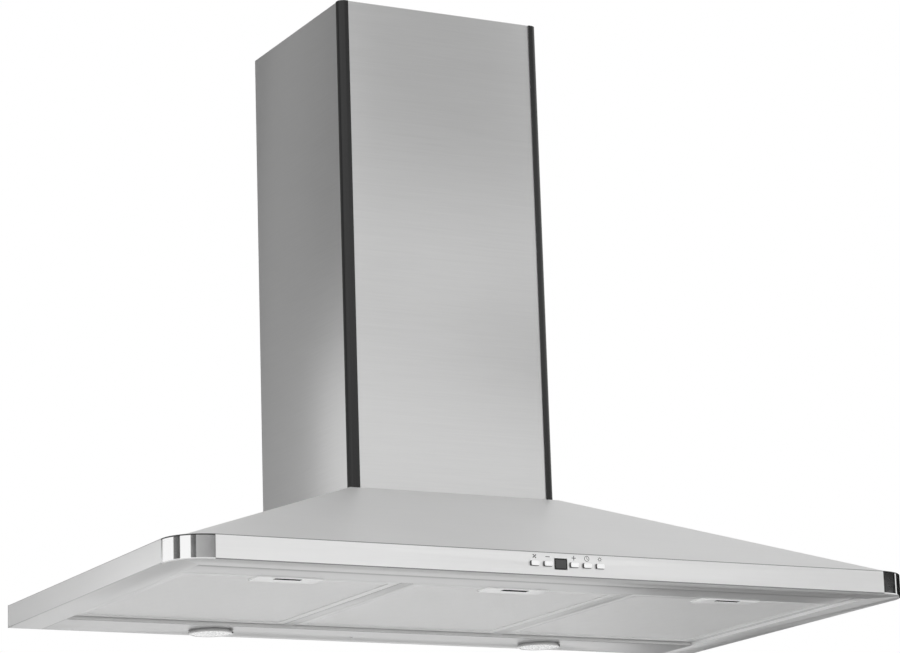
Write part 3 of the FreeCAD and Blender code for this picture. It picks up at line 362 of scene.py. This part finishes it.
PLASTICS = {
    "trim_black": moulded("trim_black", 0.010, 0.22),
    # The button caps glow weakly: painted light.
    "button_plastic": moulded("button_plastic", 0.97, 0.3, glow=0.16),
    # Dark flanks and grey undersides of the buttons: painted shade.
    "button_flank_shade": moulded("button_flank_shade", 0.04, 0.35),
    "button_under_shade": moulded("button_under_shade", 0.35, 0.35),
    "display_glass": moulded("display_glass", 0.018, 0.22),
    "display_face": moulded("display_face", 0.075, 0.25, grain=1200.0),
    "white_plastic": moulded("white_plastic", 0.72, 0.45),
    "black_plastic": moulded("black_plastic", 0.03, 0.45),
    "print_grey": moulded("print_grey", 0.10, 0.5),
    "motor_paint": moulded("motor_paint", 0.06, 0.4),
}
print("plastics and lacquers", len(PLASTICS))

# %% [markdown]
# ## Zinc-coated sheet
#
# The box, the blower and the back panel are of zinc-coated sheet, which is dull and shows the patchwork of
# crystals that the dip leaves. Voronoi cells are that patchwork.

# %% Zinc-coated sheet
def sheet_metal(name, tone, roughness):
    finish = Finish(name, Metallic=0.85)
    flakes = finish.node("TexVoronoi", out="Color", feed={"Vector": finish.place(), "Scale": 95.0})
    level = finish.node("RGBToBW", feed={0: flakes})
    tint = finish.between(level, tone * 0.88, tone * 1.08)
    finish.shade(Base_Color=finish.tinted(tint * 0.985, tint * 0.995, tint),
                 Roughness=finish.between(level, roughness - 0.06, roughness + 0.08))
    return finish.material


zinc = sheet_metal("zinc_sheet", 0.50, 0.45)
print("made", zinc.name)

# %% [markdown]
# ## Filter packing
#
# Behind the outer net of a grease filter lie more layers of pressed mesh. From outside they read as fine
# diagonal ribs that cross, so two slanting sine waves are enough, in the colour and in the bump.

# %% Filter packing
def mesh_metal(name, tone, roughness, pitch=2.6 * MM):
    finish = Finish(name, Metallic=0.75)
    slant = finish.along("X") * 0.5
    straight = finish.along("Y")
    turn = math.pi / pitch
    first = finish.math("ABSOLUTE", finish.math("SINE", (slant + straight) * turn))
    second = finish.math("ABSOLUTE", finish.math("SINE", (slant - straight) * turn))
    ribs = finish.math("MAXIMUM", first, second)
    cloud = finish.noise(finish.place(), 40.0)
    tint = finish.between(ribs, tone * 0.88, tone) * finish.between(cloud, 0.97, 1.02)
    finish.shade(Base_Color=finish.tinted(tint, tint, tint * 0.995),
                 Roughness=finish.between(cloud, roughness - 0.05, roughness + 0.08))
    finish.bumped(ribs, 0.3 * MM, 0.3)
    return finish.material


packing = mesh_metal("filter_mesh", 0.98, 0.36)
print("made", packing.name)

# %% [markdown]
# ## Circuit board and glass
#
# The board has green lacquer with lighter copper tracks under it, for which a brick pattern stands in. The
# bulbs are clear glass with a little haze. The lenses are frosted, with small facets that sparkle, and
# glow a little from within.

# %% Circuit board and glass
LACQUER_GREEN = (0.012, 0.10, 0.035)
TRACK_GREEN = (0.05, 0.22, 0.07)


def circuit_board(name):
    finish = Finish(name, Metallic=0.0, Coat_Weight=0.4)
    feed = {"Vector": finish.place(), "Scale": 160.0, "Mortar Size": 0.03}
    tracks = finish.node("TexBrick", out="Fac", feed=feed)
    finish.shade(Base_Color=finish.mixed(tracks, LACQUER_GREEN, TRACK_GREEN),
                 Roughness=finish.between(tracks, 0.35, 0.5))
    return finish.material


def clear_glass(name, tone, alpha):
    finish = Finish(name, Metallic=0.0, IOR=1.5)
    haze = finish.noise(finish.place(), 300.0, detail=2.0)
    finish.shade(Base_Color=grey(tone), Roughness=finish.between(haze, 0.03, 0.10), Alpha=alpha)
    return finish.material


def lens_glass(name):
    finish = Finish(name, Metallic=0.0, Emission_Strength=0.15)
    grain = finish.node("TexVoronoi", out="Distance", feed={"Vector": finish.place(), "Scale": 420.0})
    finish.shade(Base_Color=finish.mixed(grain, grey(0.80), grey(0.93)),
                 Roughness=finish.between(grain, 0.18, 0.34), Emission_Color=grey(1.0))
    finish.bumped(grain, 0.6 * MM, 0.6)
    return finish.material


BOARD_AND_GLASS = {
    "circuit_board": circuit_board("circuit_board"),
    "bulb_glass": clear_glass("bulb_glass", 0.95, 0.5),
    "lamp_glass": lens_glass("lamp_glass"),
}
print("made", *BOARD_AND_GLASS)

# %% [markdown]
# ## Finishes onto pieces
#
# The record names a finish for each piece. A few pieces differ from others of their kind in the photograph,
# and have a finish of their own. The construction pieces take theirs by their material slots.

# %% Finishes onto pieces
FINISHES = {**BRUSHED_STEELS, **POLISHED_METALS, **PLASTICS, **BOARD_AND_GLASS,
            "zinc_sheet": zinc, "filter_mesh": packing}
BY_NODE = {
    "front_band": "front_rim",
    "left_band": "side_rim", "right_band": "side_rim",
    "corner_cap_left": "cap_steel_fold_shade", "corner_cap_right": "cap_steel_fold_shade",
    "divider_left": "divider_steel", "divider_right": "divider_steel",
    "lamp_panel": "front_flange_shaded",
    "lamp_bezel_left": "bezel_steel", "lamp_bezel_right": "bezel_steel",
    "chimney_right_panel": "canopy_steel",
}
record_slots = {part["node"]: part["material_slot"] for part in frame["record"]["subparts"]}


def finish_of(node):
    return FINISHES[BY_NODE.get(node, record_slots[node])]


for name, item in nodes.items():
    for slot in item.material_slots:
        slot.material = finish_of(name)
print("finishes", len(FINISHES))

# %% [markdown]
# ## Helpers for pieces
#
# An operator acts on whatever is selected, so every step begins by selecting nothing. Faces are then chosen
# in code, by their place or their normal. A finished piece has its place in its mesh, is shaded smooth and
# rides on a body of the hood.

# %% Choosing and finishing
SMOOTH_ANGLE = math.radians(40)


def start_fresh():
    if bpy.context.object and bpy.context.object.mode != "OBJECT":
        bpy.ops.object.mode_set(mode="OBJECT")
    bpy.ops.object.select_all(action="DESELECT")


def pick(item):
    start_fresh()
    item.select_set(True)
    bpy.context.view_layer.objects.active = item


def choose_faces(piece, wanted):
    """Opens a piece in edit mode with only the wanted faces selected."""
    pick(piece)
    bpy.ops.object.mode_set(mode="EDIT")
    bpy.ops.mesh.select_mode(type="FACE")
    bpy.ops.mesh.select_all(action="DESELECT")
    bpy.ops.object.mode_set(mode="OBJECT")
    for face in piece.data.polygons:
        face.select = wanted(face)
    bpy.ops.object.mode_set(mode="EDIT")


def dressed(piece, *finishes):
    """Gives a piece these finishes, in place of any that it has."""
    piece.data.materials.clear()
    for finish in finishes:
        piece.data.materials.append(FINISHES[finish])


def finished(piece, name, body):
    """Names a piece, shades it smooth and fixes it to its body."""
    piece.name = name
    piece.data.name = name
    pick(piece)
    bpy.ops.object.transform_apply(location=True, rotation=True, scale=True)
    bpy.ops.object.shade_smooth_by_angle(angle=SMOOTH_ANGLE)
    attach(piece, body)


print("smooth up to", round(math.degrees(SMOOTH_ANGLE)), "degrees")

# %% [markdown]
# What is the same twice is modelled once and copied, each copy with a mesh of its own. A copy of a
# construction piece needs more care. Its mesh is loose triangles, so we merge their points and dissolve
# them into whole faces, and it must forget that it was a node.

# %% Copies
MERGE_GAP = 0.005 * MM
FLAT_ANGLE = math.radians(1)


def repeated(piece, shift):
    """The same piece again, moved by shift."""
    again = piece.copy()
    again.data = piece.data.copy()
    again.data.transform(Matrix.Translation(shift))
    scene.collection.objects.link(again)
    return again


def merged_copy(node):
    piece = nodes[node].copy()
    piece.data = nodes[node].data.copy()
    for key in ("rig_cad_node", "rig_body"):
        if key in piece:
            del piece[key]
    piece.parent = None
    scene.collection.objects.link(piece)
    pick(piece)
    if piece.data.has_custom_normals:
        bpy.ops.mesh.customdata_custom_splitnormals_clear()
    bpy.ops.object.mode_set(mode="EDIT")
    bpy.ops.mesh.select_all(action="SELECT")
    bpy.ops.mesh.remove_doubles(threshold=MERGE_GAP)
    bpy.ops.mesh.dissolve_limited(angle_limit=FLAT_ANGLE)
    bpy.ops.object.mode_set(mode="OBJECT")
    return piece


print("points closer than", MERGE_GAP / MM, "mm are merged")

# %% [markdown]
# ## Softened edges
#
# No folded sheet or moulded part has a perfectly sharp edge, and it is the small radius along an edge that
# catches the light. We bevel a merged copy, so the shape stays and only the edges change. The bevel may
# have a finish of its own: on the chimney's edges and the handle plates it is painted bright, a painted
# highlight, and along the rim's folds, the rail, the dividers and the lamp panel it is painted dark, as
# painted shade. The copy replaces the node and rides with it.

# %% Softened edges
BEVEL_ANGLE = math.radians(50)
BEVEL_STEPS = 2
# Bright edge finishes here are painted highlights, and dark ones painted shade.
SOFT_EDGES = [
    (0.8 * MM, "edge_highlight", ["chimney_front_panel"]),
    (0.6 * MM, "edge_highlight", ["chimney_left_panel", "chimney_right_panel"]),
    (0.4 * MM, "fold_shadow", ["front_rail", "divider_left", "divider_right"]),
    (0.3 * MM, "fold_shadow", ["lamp_panel"]),
    (0.35 * MM, "edge_highlight", ["filter_handle_1", "filter_handle_2", "filter_handle_3"]),
    (0.4 * MM, None, ["filter_frame_1", "filter_frame_2", "filter_frame_3"]),
    (0.6 * MM, "fold_shadow", ["front_band"]),
    (0.6 * MM, "side_fold_shade", ["left_band", "right_band"]),
    (0.25 * MM, None, ["lamp_bezel_left", "lamp_bezel_right"]),
    (1.5 * MM, None, ["electrical_box"]),
    (0.6 * MM, None, ["control_housing"]),
    (0.8 * MM, None, ["capacitor"]),
]


def softened(node, width, edge):
    piece = merged_copy(node)
    piece.data.materials.clear()
    piece.data.materials.append(finish_of(node))
    bevel = piece.modifiers.new("edges", "BEVEL")
    bevel.width = width
    bevel.segments = BEVEL_STEPS
    bevel.limit_method = "ANGLE"
    bevel.angle_limit = BEVEL_ANGLE
    if edge:
        piece.data.materials.append(FINISHES[edge])
        bevel.material = 1
    bpy.ops.object.modifier_apply(modifier="edges")
    finished(piece, node + "_soft", nodes[node]["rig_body"])
    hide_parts(node)
    return piece


soft = {}
for width, edge, group in SOFT_EDGES:
    for node in group:
        soft[node] = softened(node, width, edge)
        print(soft[node].name, len(soft[node].data.polygons), "faces")

# %% [markdown]
# The rim's folds are tight bends, painted dark as painted shade, so that they read as thin dark lines above
# and below the bright band. Their faces look along none of the three axes, so that is how they are found.
# The flange below is the same sheet as the band, and takes a darker copy of its steel, as painted shade.

# %% Fold lines
SQUARE_ON = 0.985
STRAIGHT_DOWN = -0.9
FLANGES = {"front_band": "front_flange_shaded", "left_band": "side_flange_shaded", "right_band": "side_flange_shaded"}
for node, flange in FLANGES.items():
    piece = soft[node]
    piece.data.materials.append(FINISHES[flange])
    # Fold faces take the dark edge finish and downward faces the darker flange copy: both painted shade.
    for face in piece.data.polygons:
        if max(abs(part) for part in face.normal) < SQUARE_ON:
            face.material_index = 1
        elif face.normal.z < STRAIGHT_DOWN:
            face.material_index = 2
    print(piece.name, len(piece.data.materials), "finishes")

# %% [markdown]
# The slots in the handle plates are painted dark inside with the black finish, as painted shade. Their walls
# are the upright faces well inside the plate's outline.

# %% Slots
PLATE_END = 10 * MM
PLATE_SIDE = 3 * MM
UPRIGHT = 0.3
for number in (1, 2, 3):
    piece = soft[f"filter_handle_{number}"]
    piece.data.materials.append(FINISHES["black_plastic"])
    low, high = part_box(f"filter_handle_{number}")
    walls = 0
    for face in piece.data.polygons:
        inside_x = low.x + PLATE_END < face.center.x < high.x - PLATE_END
        inside_y = low.y + PLATE_SIDE < face.center.y < high.y - PLATE_SIDE
        # Slot walls take the black finish: painted shade.
        if inside_x and inside_y and abs(face.normal.z) < UPRIGHT:
            face.material_index = 2
            walls += 1
    print(piece.name, walls, "dark walls")

# %% [markdown]
# ## Buttons
#
# Each button has a bright cap. The construction gives its shape, so only the finish is split: faces that
# look forward, and the rounding around them, are bright. The flanks are painted dark, and what looks up or
# down is painted grey, both as painted shade.

# %% Buttons
BUTTONS = [name for name in nodes if name.startswith("button_")]
CAP_DEPTH = 0.5 * MM
SIDEWAYS = 0.6
for name in BUTTONS:
    piece = merged_copy(name)
    dressed(piece, "button_plastic", "button_flank_shade", "button_under_shade")
    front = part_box(name)[0].y
    # Flanks are painted dark and up or down faces grey: painted shade.
    for face in piece.data.polygons:
        if face.center.y >= front + CAP_DEPTH:
            face.material_index = 1 if abs(face.normal.x) > SIDEWAYS else 2
    finished(piece, name + "_cap", nodes[name]["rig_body"])
    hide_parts(name)
print("buttons", len(BUTTONS))

# %% [markdown]
# ## Display window
#
# The window is a small block of smoked glass with a flange that holds it behind the sheet. A darker border
# is printed behind its edge, so the middle looks a little lighter. We inset the front face and give the
# inner one its own finish. The flange is given the pale handle finish, so it shows as a thin bright line
# around the window: a painted highlight.

# %% Display window
DISPLAY_BORDER = 1.3 * MM
FORWARD_LOOKING = -0.9


def make_display():
    piece = merged_copy("display_window")
    dressed(piece, "display_glass", "display_face", "handle_metal")
    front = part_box("display_window")[0].y
    # The flange is painted pale: a painted highlight around the window.
    for face in piece.data.polygons:
        if face.normal.y < FORWARD_LOOKING and face.center.y > front + 0.5 * MM:
            face.material_index = 2
    choose_faces(piece, lambda face: face.normal.y < FORWARD_LOOKING and face.center.y < front + 0.05 * MM)
    bpy.ops.mesh.inset(thickness=DISPLAY_BORDER, depth=0)
    bpy.context.object.active_material_index = 1
    bpy.ops.object.material_slot_assign()
    finished(piece, "display_glass_block", "hood")
    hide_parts("display_window")
    print(piece.name, len(piece.data.polygons), "faces")


make_display()

# %% [markdown]
# ## Lamp lenses
#
# Each lamp is closed by a frosted lens that bulges a little out of its ring, with fine rings pressed into
# it. Anything round is turned: a profile is drawn point by point and spun about the lamp's axis.

# %% Lathe
LATHE_GAP = 0.01 * MM
LATHE_STEPS = 64


def lathe(profile, centre, steps=LATHE_STEPS):
    """Spins (radius, height) points, in order, about an upright axis through centre."""
    start_fresh()
    first = Vector((centre.x + profile[0][0], centre.y, centre.z + profile[0][1]))
    bpy.ops.mesh.primitive_plane_add(size=MM, location=first)
    bpy.ops.object.transform_apply(location=True, rotation=False, scale=False)
    piece = bpy.context.active_object
    bpy.ops.object.mode_set(mode="EDIT")
    bpy.ops.mesh.select_mode(type="VERT")
    bpy.ops.mesh.select_all(action="SELECT")
    bpy.ops.mesh.merge(type="CENTER")
    for before, after in zip(profile, profile[1:]):
        move = (after[0] - before[0], 0, after[1] - before[1])
        bpy.ops.mesh.extrude_region_move(TRANSFORM_OT_translate={"value": move})
    bpy.ops.mesh.select_all(action="SELECT")
    bpy.ops.mesh.spin(steps=steps, angle=2 * math.pi, center=centre, axis=(0, 0, 1))
    bpy.ops.mesh.select_all(action="SELECT")
    bpy.ops.mesh.remove_doubles(threshold=LATHE_GAP)
    bpy.ops.mesh.normals_make_consistent(inside=False)
    bpy.ops.object.mode_set(mode="OBJECT")
    return piece


print("turned in", LATHE_STEPS, "steps")

# %% [markdown]
# The lens's profile is a shallow parabola with a ripple on it, for the pressed rings. It is turned once, for
# the left lamp, and copied to the right.

# %% Lamp lenses
LENS_EDGE = 1.6 * MM
RING_PITCH = 2.2 * MM
RING_DEPTH = 0.10 * MM
LENS_STEPS = 40


def lens_profile(radius, crown):
    profile = []
    for step in range(LENS_STEPS + 1):
        out = radius * step / LENS_STEPS
        bulge = crown * (1 - (out / radius) ** 2)
        ripple = RING_DEPTH * (1 - math.cos(2 * math.pi * out / RING_PITCH)) / 2
        profile.append((out, -(LENS_EDGE + bulge - ripple)))
    return profile + [(radius, 0), (0, 0)]


def make_lenses():
    low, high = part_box("lamp_lens_left")
    middle = (low + high) / 2
    profile = lens_profile((high.x - low.x) / 2, high.z - low.z - LENS_EDGE)
    left = lathe(profile, Vector((middle.x, middle.y, high.z)))
    right = repeated(left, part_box("lamp_lens_right")[0] - low)
    for side, lens in (("left", left), ("right", right)):
        dressed(lens, "lamp_glass")
        finished(lens, f"lens_dome_{side}", "hood")
        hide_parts(f"lamp_lens_{side}")
        print(lens.name, round((high.x - low.x) / MM, 1), "mm across")


make_lenses()

# %% [markdown]
# One small rivet shows in the lamp panel, left of its middle. It is turned in the same way.

# %% Rivet
RIVET_PLACE = (-34 * MM, -33 * MM)
RIVET_HEAD = [(0, -0.9), (0.9, -0.8), (1.6, -0.5), (2.0, -0.15), (2.0, 0), (0, 0)]
RIVET_STEPS = 24
rivet_seat = Vector((*RIVET_PLACE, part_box("lamp_panel")[0].z))
rivet = lathe([(out * MM, up * MM) for out, up in RIVET_HEAD], rivet_seat, RIVET_STEPS)
dressed(rivet, "screw_steel")
finished(rivet, "panel_rivet", "hood")
print(rivet.name, len(rivet.data.polygons), "faces")

# %% [markdown]
# ## Printed symbols
#
# Above the buttons are small printed symbols: a fan, a minus, a plus, a clock and a lamp. A print is a thin
# film of paint, so each is built of flat strokes and rings and then extruded by a tenth of a millimetre.
# Strokes are planes stretched to size. A ring is a circle with its face inset and the middle deleted.

# %% Strokes and rings
def stroke(length, width, turn=0.0, middle=(0.0, 0.0)):
    """A straight stroke, turned in degrees, with its middle at (across, up)."""
    start_fresh()
    bpy.ops.mesh.primitive_plane_add(size=1)
    mark = bpy.context.active_object
    mark.data.transform(Matrix.Diagonal((length, width, 1, 1)))
    mark.data.transform(Matrix.Rotation(math.radians(turn), 4, "Z"))
    mark.data.transform(Matrix.Translation((*middle, 0)))
    return mark


def ring(radius, width, sides=32):
    start_fresh()
    bpy.ops.mesh.primitive_circle_add(vertices=sides, radius=radius, fill_type="NGON")
    mark = bpy.context.active_object
    bpy.ops.object.mode_set(mode="EDIT")
    bpy.ops.mesh.select_all(action="SELECT")
    bpy.ops.mesh.inset(thickness=width, depth=0)
    bpy.ops.mesh.delete(type="FACE")
    bpy.ops.object.mode_set(mode="OBJECT")
    return mark


def around(radius, turn):
    turn = math.radians(turn)
    return (radius * math.cos(turn), radius * math.sin(turn))


print("a mark at 90 degrees sits", [round(part, 3) for part in around(1, 90)])

# %% [markdown]
# The marks of a symbol are drawn lying flat, joined, given their thickness, and then stood up and moved to
# the rim, above the middle of their button.

# %% Printing
PRINT_RISE = 0.12 * MM
SYMBOL_UP = 7.7 * MM
FACE_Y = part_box("front_band")[0].y
STOOD_UP = Matrix.Rotation(math.radians(90), 4, "X")


def printed(name, marks, button):
    start_fresh()
    for mark in marks:
        mark.select_set(True)
    bpy.context.view_layer.objects.active = marks[0]
    bpy.ops.object.join()
    symbol = bpy.context.active_object
    bpy.ops.object.mode_set(mode="EDIT")
    bpy.ops.mesh.select_all(action="SELECT")
    bpy.ops.mesh.extrude_region_move(TRANSFORM_OT_translate={"value": (0, 0, PRINT_RISE)})
    bpy.ops.mesh.select_all(action="SELECT")
    bpy.ops.mesh.normals_make_consistent(inside=False)
    bpy.ops.object.mode_set(mode="OBJECT")
    low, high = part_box(button)
    middle = (low + high) / 2
    place = Matrix.Translation((middle.x, FACE_Y, middle.z + SYMBOL_UP))
    symbol.data.transform(place @ STOOD_UP)
    dressed(symbol, "print_grey")
    finished(symbol, name, "hood")
    print(symbol.name, len(symbol.data.polygons), "faces")


print("symbols stand", SYMBOL_UP / MM, "mm above their buttons")

# %% [markdown]
# The fan is a hub with four slanting blades, the clock a ring with two hands, and the lamp a ring with
# eight rays. All sizes are in millimetres.

# %% Symbols
SIGN = (5.0 * MM, 0.75 * MM)
BLADE = (1.9 * MM, 1.0 * MM)
BLADE_SLANT = 12
BLADE_TURNS = (40, 130, 220, 310)
RAY = (0.7 * MM, 0.35 * MM)
RAY_TURNS = range(0, 360, 45)

blades = [stroke(*BLADE, turn + BLADE_SLANT, around(1.75 * MM, turn)) for turn in BLADE_TURNS]
printed("symbol_fan", [ring(0.75 * MM, 0.5 * MM, sides=16), *blades], "button_fan")
printed("symbol_minus", [stroke(*SIGN)], "button_slower")
printed("symbol_plus", [stroke(*SIGN), stroke(*SIGN, 90)], "button_faster")
minute_hand = stroke(2.0 * MM, 0.45 * MM, 90, (0, 0.9 * MM))
hour_hand = stroke(1.5 * MM, 0.45 * MM, -35, (0.6 * MM, -0.45 * MM))
printed("symbol_clock", [ring(3.0 * MM, 0.55 * MM), minute_hand, hour_hand], "button_timer")
rays = [stroke(*RAY, turn, around(2.45 * MM, turn)) for turn in RAY_TURNS]
printed("symbol_lamp", [ring(1.7 * MM, 0.5 * MM, sides=24), *rays], "button_light")

# %% [markdown]
# ## Filter mesh
#
# A grease filter's face is expanded aluminium: a sheet slit in rows and pulled open, so that it becomes a
# net of flat diamonds. A grid gives the rows. Poking every face puts a point in its middle, a little
# nearer to the viewer. Dissolving the old edges joins the triangles in pairs, which are the diamonds, and
# insetting each diamond and deleting its middle leaves the strands.

# %% Net of diamonds
DIAMOND_LONG = 4.2 * MM
DIAMOND_SHORT = 2.7 * MM
STRAND = 0.26 * MM
STRAND_RELIEF = 0.2 * MM


def poked_grid(columns, rows, placing):
    """A flat grid, placed by a matrix, with a raised point in the middle of each of its faces."""
    start_fresh()
    bpy.ops.mesh.primitive_grid_add(x_subdivisions=columns, y_subdivisions=rows, size=1)
    net = bpy.context.active_object
    net.data.transform(placing)
    bpy.ops.object.mode_set(mode="EDIT")
    bpy.ops.mesh.select_mode(type="EDGE")
    bpy.ops.mesh.select_all(action="SELECT")
    bpy.ops.mesh.normals_make_consistent(inside=False)
    bpy.ops.mesh.poke(offset=0.0)
    bpy.ops.object.mode_set(mode="OBJECT")
    for vertex in net.data.vertices[(columns + 1) * (rows + 1):]:
        vertex.co.z -= STRAND_RELIEF
    return net


def opened_diamonds(net, grid_points):
    """Joins the triangles across the grid's own inner edges and leaves a strand around each diamond."""
    edge_faces = Counter(key for face in net.data.polygons for key in face.edge_keys)
    for item in (*net.data.vertices, *net.data.edges, *net.data.polygons):
        item.select = False
    for edge in net.data.edges:
        edge.select = max(edge.vertices) < grid_points and edge_faces[edge.key] == 2
    bpy.ops.object.mode_set(mode="EDIT")
    bpy.ops.mesh.dissolve_edges(use_verts=False)
    bpy.ops.mesh.select_mode(type="FACE")
    bpy.ops.mesh.select_all(action="SELECT")
    bpy.ops.mesh.inset(thickness=STRAND, use_individual=True)
    bpy.ops.mesh.delete(type="FACE")
    bpy.ops.object.mode_set(mode="OBJECT")


print("a diamond is", round(DIAMOND_LONG / MM, 1), "x", round(DIAMOND_SHORT / MM, 1), "mm")

# %% [markdown]
# The net fills the filter's frame and is cut out under the handle plate. The three filters are alike, so it
# is made for the first and copied to the other two.

# %% Filter nets
FRAME_RIM = 10 * MM
NET_TUCK = 1 * MM
NET_DROP = 0.1 * MM


def make_nets():
    low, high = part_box("filter_mesh_1")
    frame_low, frame_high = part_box("filter_frame_1")
    plate_low, plate_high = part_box("filter_handle_1")
    centre_x = (low.x + high.x) / 2
    rear, front = frame_high.y - FRAME_RIM, frame_low.y + FRAME_RIM
    wide, deep = high.x - low.x - 2 * (FRAME_RIM - NET_TUCK), rear - front
    columns, rows = round(wide / DIAMOND_LONG), round(deep / DIAMOND_SHORT)
    middle = Matrix.Translation((centre_x, (rear + front) / 2, low.z - NET_DROP))
    net = poked_grid(columns, rows, middle @ Matrix.Diagonal((wide, -deep, -1, 1)))
    opened_diamonds(net, (columns + 1) * (rows + 1))
    half_plate = (plate_high.x - plate_low.x) / 2
    choose_faces(net, lambda face: abs(face.center.x - centre_x) < half_plate and face.center.y < plate_high.y)
    bpy.ops.mesh.delete(type="FACE")
    bpy.ops.object.mode_set(mode="OBJECT")
    nets = [net] + [repeated(net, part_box(f"filter_mesh_{number}")[0] - low) for number in (2, 3)]
    for number, net in enumerate(nets, start=1):
        dressed(net, "strand_metal")
        body = nodes[f"filter_mesh_{number}"]["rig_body"]
        finished(net, f"expanded_mesh_{number}", body)
        print(net.name, len(net.data.polygons), "faces")


make_nets()

# %% [markdown]
# ## The studio
#
# Steel shows its surroundings more than its own colour, so the studio matters as much as the finishes.
# Here it is a white tent: the world has a strength of 1 in every direction, so that a colour renders about
# as it is written, and the background is white.

# %% World
WORLD_COLOUR = (1, 1, 1, 1)
WORLD_STRENGTH = 1.0


def make_world():
    world = bpy.data.worlds.new("studio")
    world.use_nodes = True
    scene.world = world
    background = world.node_tree.nodes["Background"]
    background.inputs["Color"].default_value = WORLD_COLOUR
    background.inputs["Strength"].default_value = WORLD_STRENGTH


scene.view_settings.view_transform = "Standard"
make_world()
print("world strength", WORLD_STRENGTH)

# %% [markdown]
# The floor is pale and lies well below the hood, as it does in a kitchen. Its underside is clear, so that a
# view from under it still shows the filters.

# %% Floor
FLOOR_DROP = 1.65
FLOOR_REACH = 6.0
FLOOR_TONE = 0.92
FLOOR_ROUGHNESS = 0.7


def make_floor():
    start_fresh()
    bpy.ops.mesh.primitive_plane_add(size=2 * FLOOR_REACH, location=(0, 0, -FLOOR_DROP))
    floor = bpy.context.active_object
    floor.name = "floor"
    finish = Finish("pale_floor", Roughness=FLOOR_ROUGHNESS, Base_Color=grey(FLOOR_TONE))
    seen_from_below = finish.node("NewGeometry", out="Backfacing")
    pale = Flow(finish, finish.shader.outputs[0])
    clear = finish.node("BsdfTransparent")
    finish.surface(finish.node("MixShader", feed={0: seen_from_below, 1: pale, 2: clear}))
    floor.data.materials.append(finish.material)


make_floor()
print("floor", FLOOR_DROP, "m below the wall screws")

# %% [markdown]
# ## Cards
#
# What gives the steel its shades are cards that stand around the hood, as a photographer puts them up: grey
# ones dim a broad reflection, and narrow dark ones draw the stripes on the polished corners. A card shines
# with a grey that may run from one value to another across its width.

# %% Card finish
def glowing(name, light, away=None, wide=1.0):
    """Light is the greys at a card's two sides. Away is the way from the hood to the card's middle."""
    finish = Finish(name)
    finish.tree.nodes.remove(finish.shader)
    colour = grey(light[0])
    if away:
        across = (finish.along("Y") * away[0] - finish.along("X") * away[1]) / wide
        level = finish.math("ADD", across, 0.5, clamp=True) * (light[1] - light[0]) + light[0]
        colour = finish.tinted(level, level, level)
    finish.surface(finish.node("Emission", feed={"Color": colour, "Strength": 1.0}))
    return finish.material


def set_up(card, name, material):
    card.name = name
    card.data.materials.append(material)
    card.visible_camera = False


print("cards are hidden from the camera")

# %% [markdown]
# A card is given by the turn at which it begins and ends, seen from the hood, and by how high it reaches in
# degrees. A turn of 0 is due left, 90 is straight in front, 180 is due right and -90 is behind. The camera
# doesn't see the cards, so they may stand anywhere.

# %% Cards
CARD_DISTANCE = 5.0
CARDS = {
    "behind_left_low": ((-105, -52), (-8, 9.5), (0.38, 0.38)),
    "behind_left_high": ((-92, -52), (9.5, 62), (0.36, 0.30)),
    "left_high": ((-52, -15), (10, 62), (0.20, 0.22)),
    "behind": ((-165, -92), (16, 62), (0.50, 0.90)),
    "low_right": ((-178, -124), (-17, 7), (0.03, 0.03)),
    "left_gap": ((-4, 16), (6.5, 12), (0.20, 0.05)),
    "front_gap": ((44, 57), (6.5, 12), (0.20, 0.05)),
    "front_shade": ((57, 118), (7, 11), (0.42, 0.18)),
    "right_shade": ((118, 172), (6, 11), (0.015, 0.012)),
    "far_right_shade": ((178, 241), (6, 11), (0.012, 0.012)),
    "front_top": ((90, 150), (22, 55), (0.50, 0.50)),
}


def make_card(name, turns, rises, light):
    middle = math.radians(sum(turns) / 2)
    half = math.radians(turns[1] - turns[0]) / 2
    foot, head = (CARD_DISTANCE * math.tan(math.radians(rise)) for rise in rises)
    wide = 2 * CARD_DISTANCE * math.tan(half)
    start_fresh()
    bpy.ops.mesh.primitive_plane_add(size=1)
    card = bpy.context.active_object
    upright = Matrix.Rotation(math.radians(90), 4, "X") @ Matrix.Diagonal((wide, head - foot, 1, 1))
    in_front = Matrix.Translation((0, -CARD_DISTANCE, (head + foot) / 2))
    turned = Matrix.Rotation(middle - math.radians(90), 4, "Z")
    card.data.transform(turned @ in_front @ upright)
    away = (-math.cos(middle), -math.sin(middle))
    set_up(card, "card_" + name, glowing("card_" + name, light, away, wide))


for name, (turns, rises, light) in CARDS.items():
    make_card(name, turns, rises, light)
print("cards", len(CARDS))

# %% [markdown]
# One more card lies flat above the hood, like a ceiling. It tones down the canopy's slopes.

# %% Ceiling
CEILING_UP = 4.0
CEILING_REACH = 2.2
CEILING_LIGHT = 0.70


def make_ceiling():
    start_fresh()
    bpy.ops.mesh.primitive_plane_add(size=2 * CEILING_REACH, location=(0, 0, CEILING_UP))
    light = (CEILING_LIGHT, CEILING_LIGHT)
    set_up(bpy.context.active_object, "card_ceiling", glowing("card_ceiling", light))


make_ceiling()
print("ceiling", CEILING_UP, "m up")
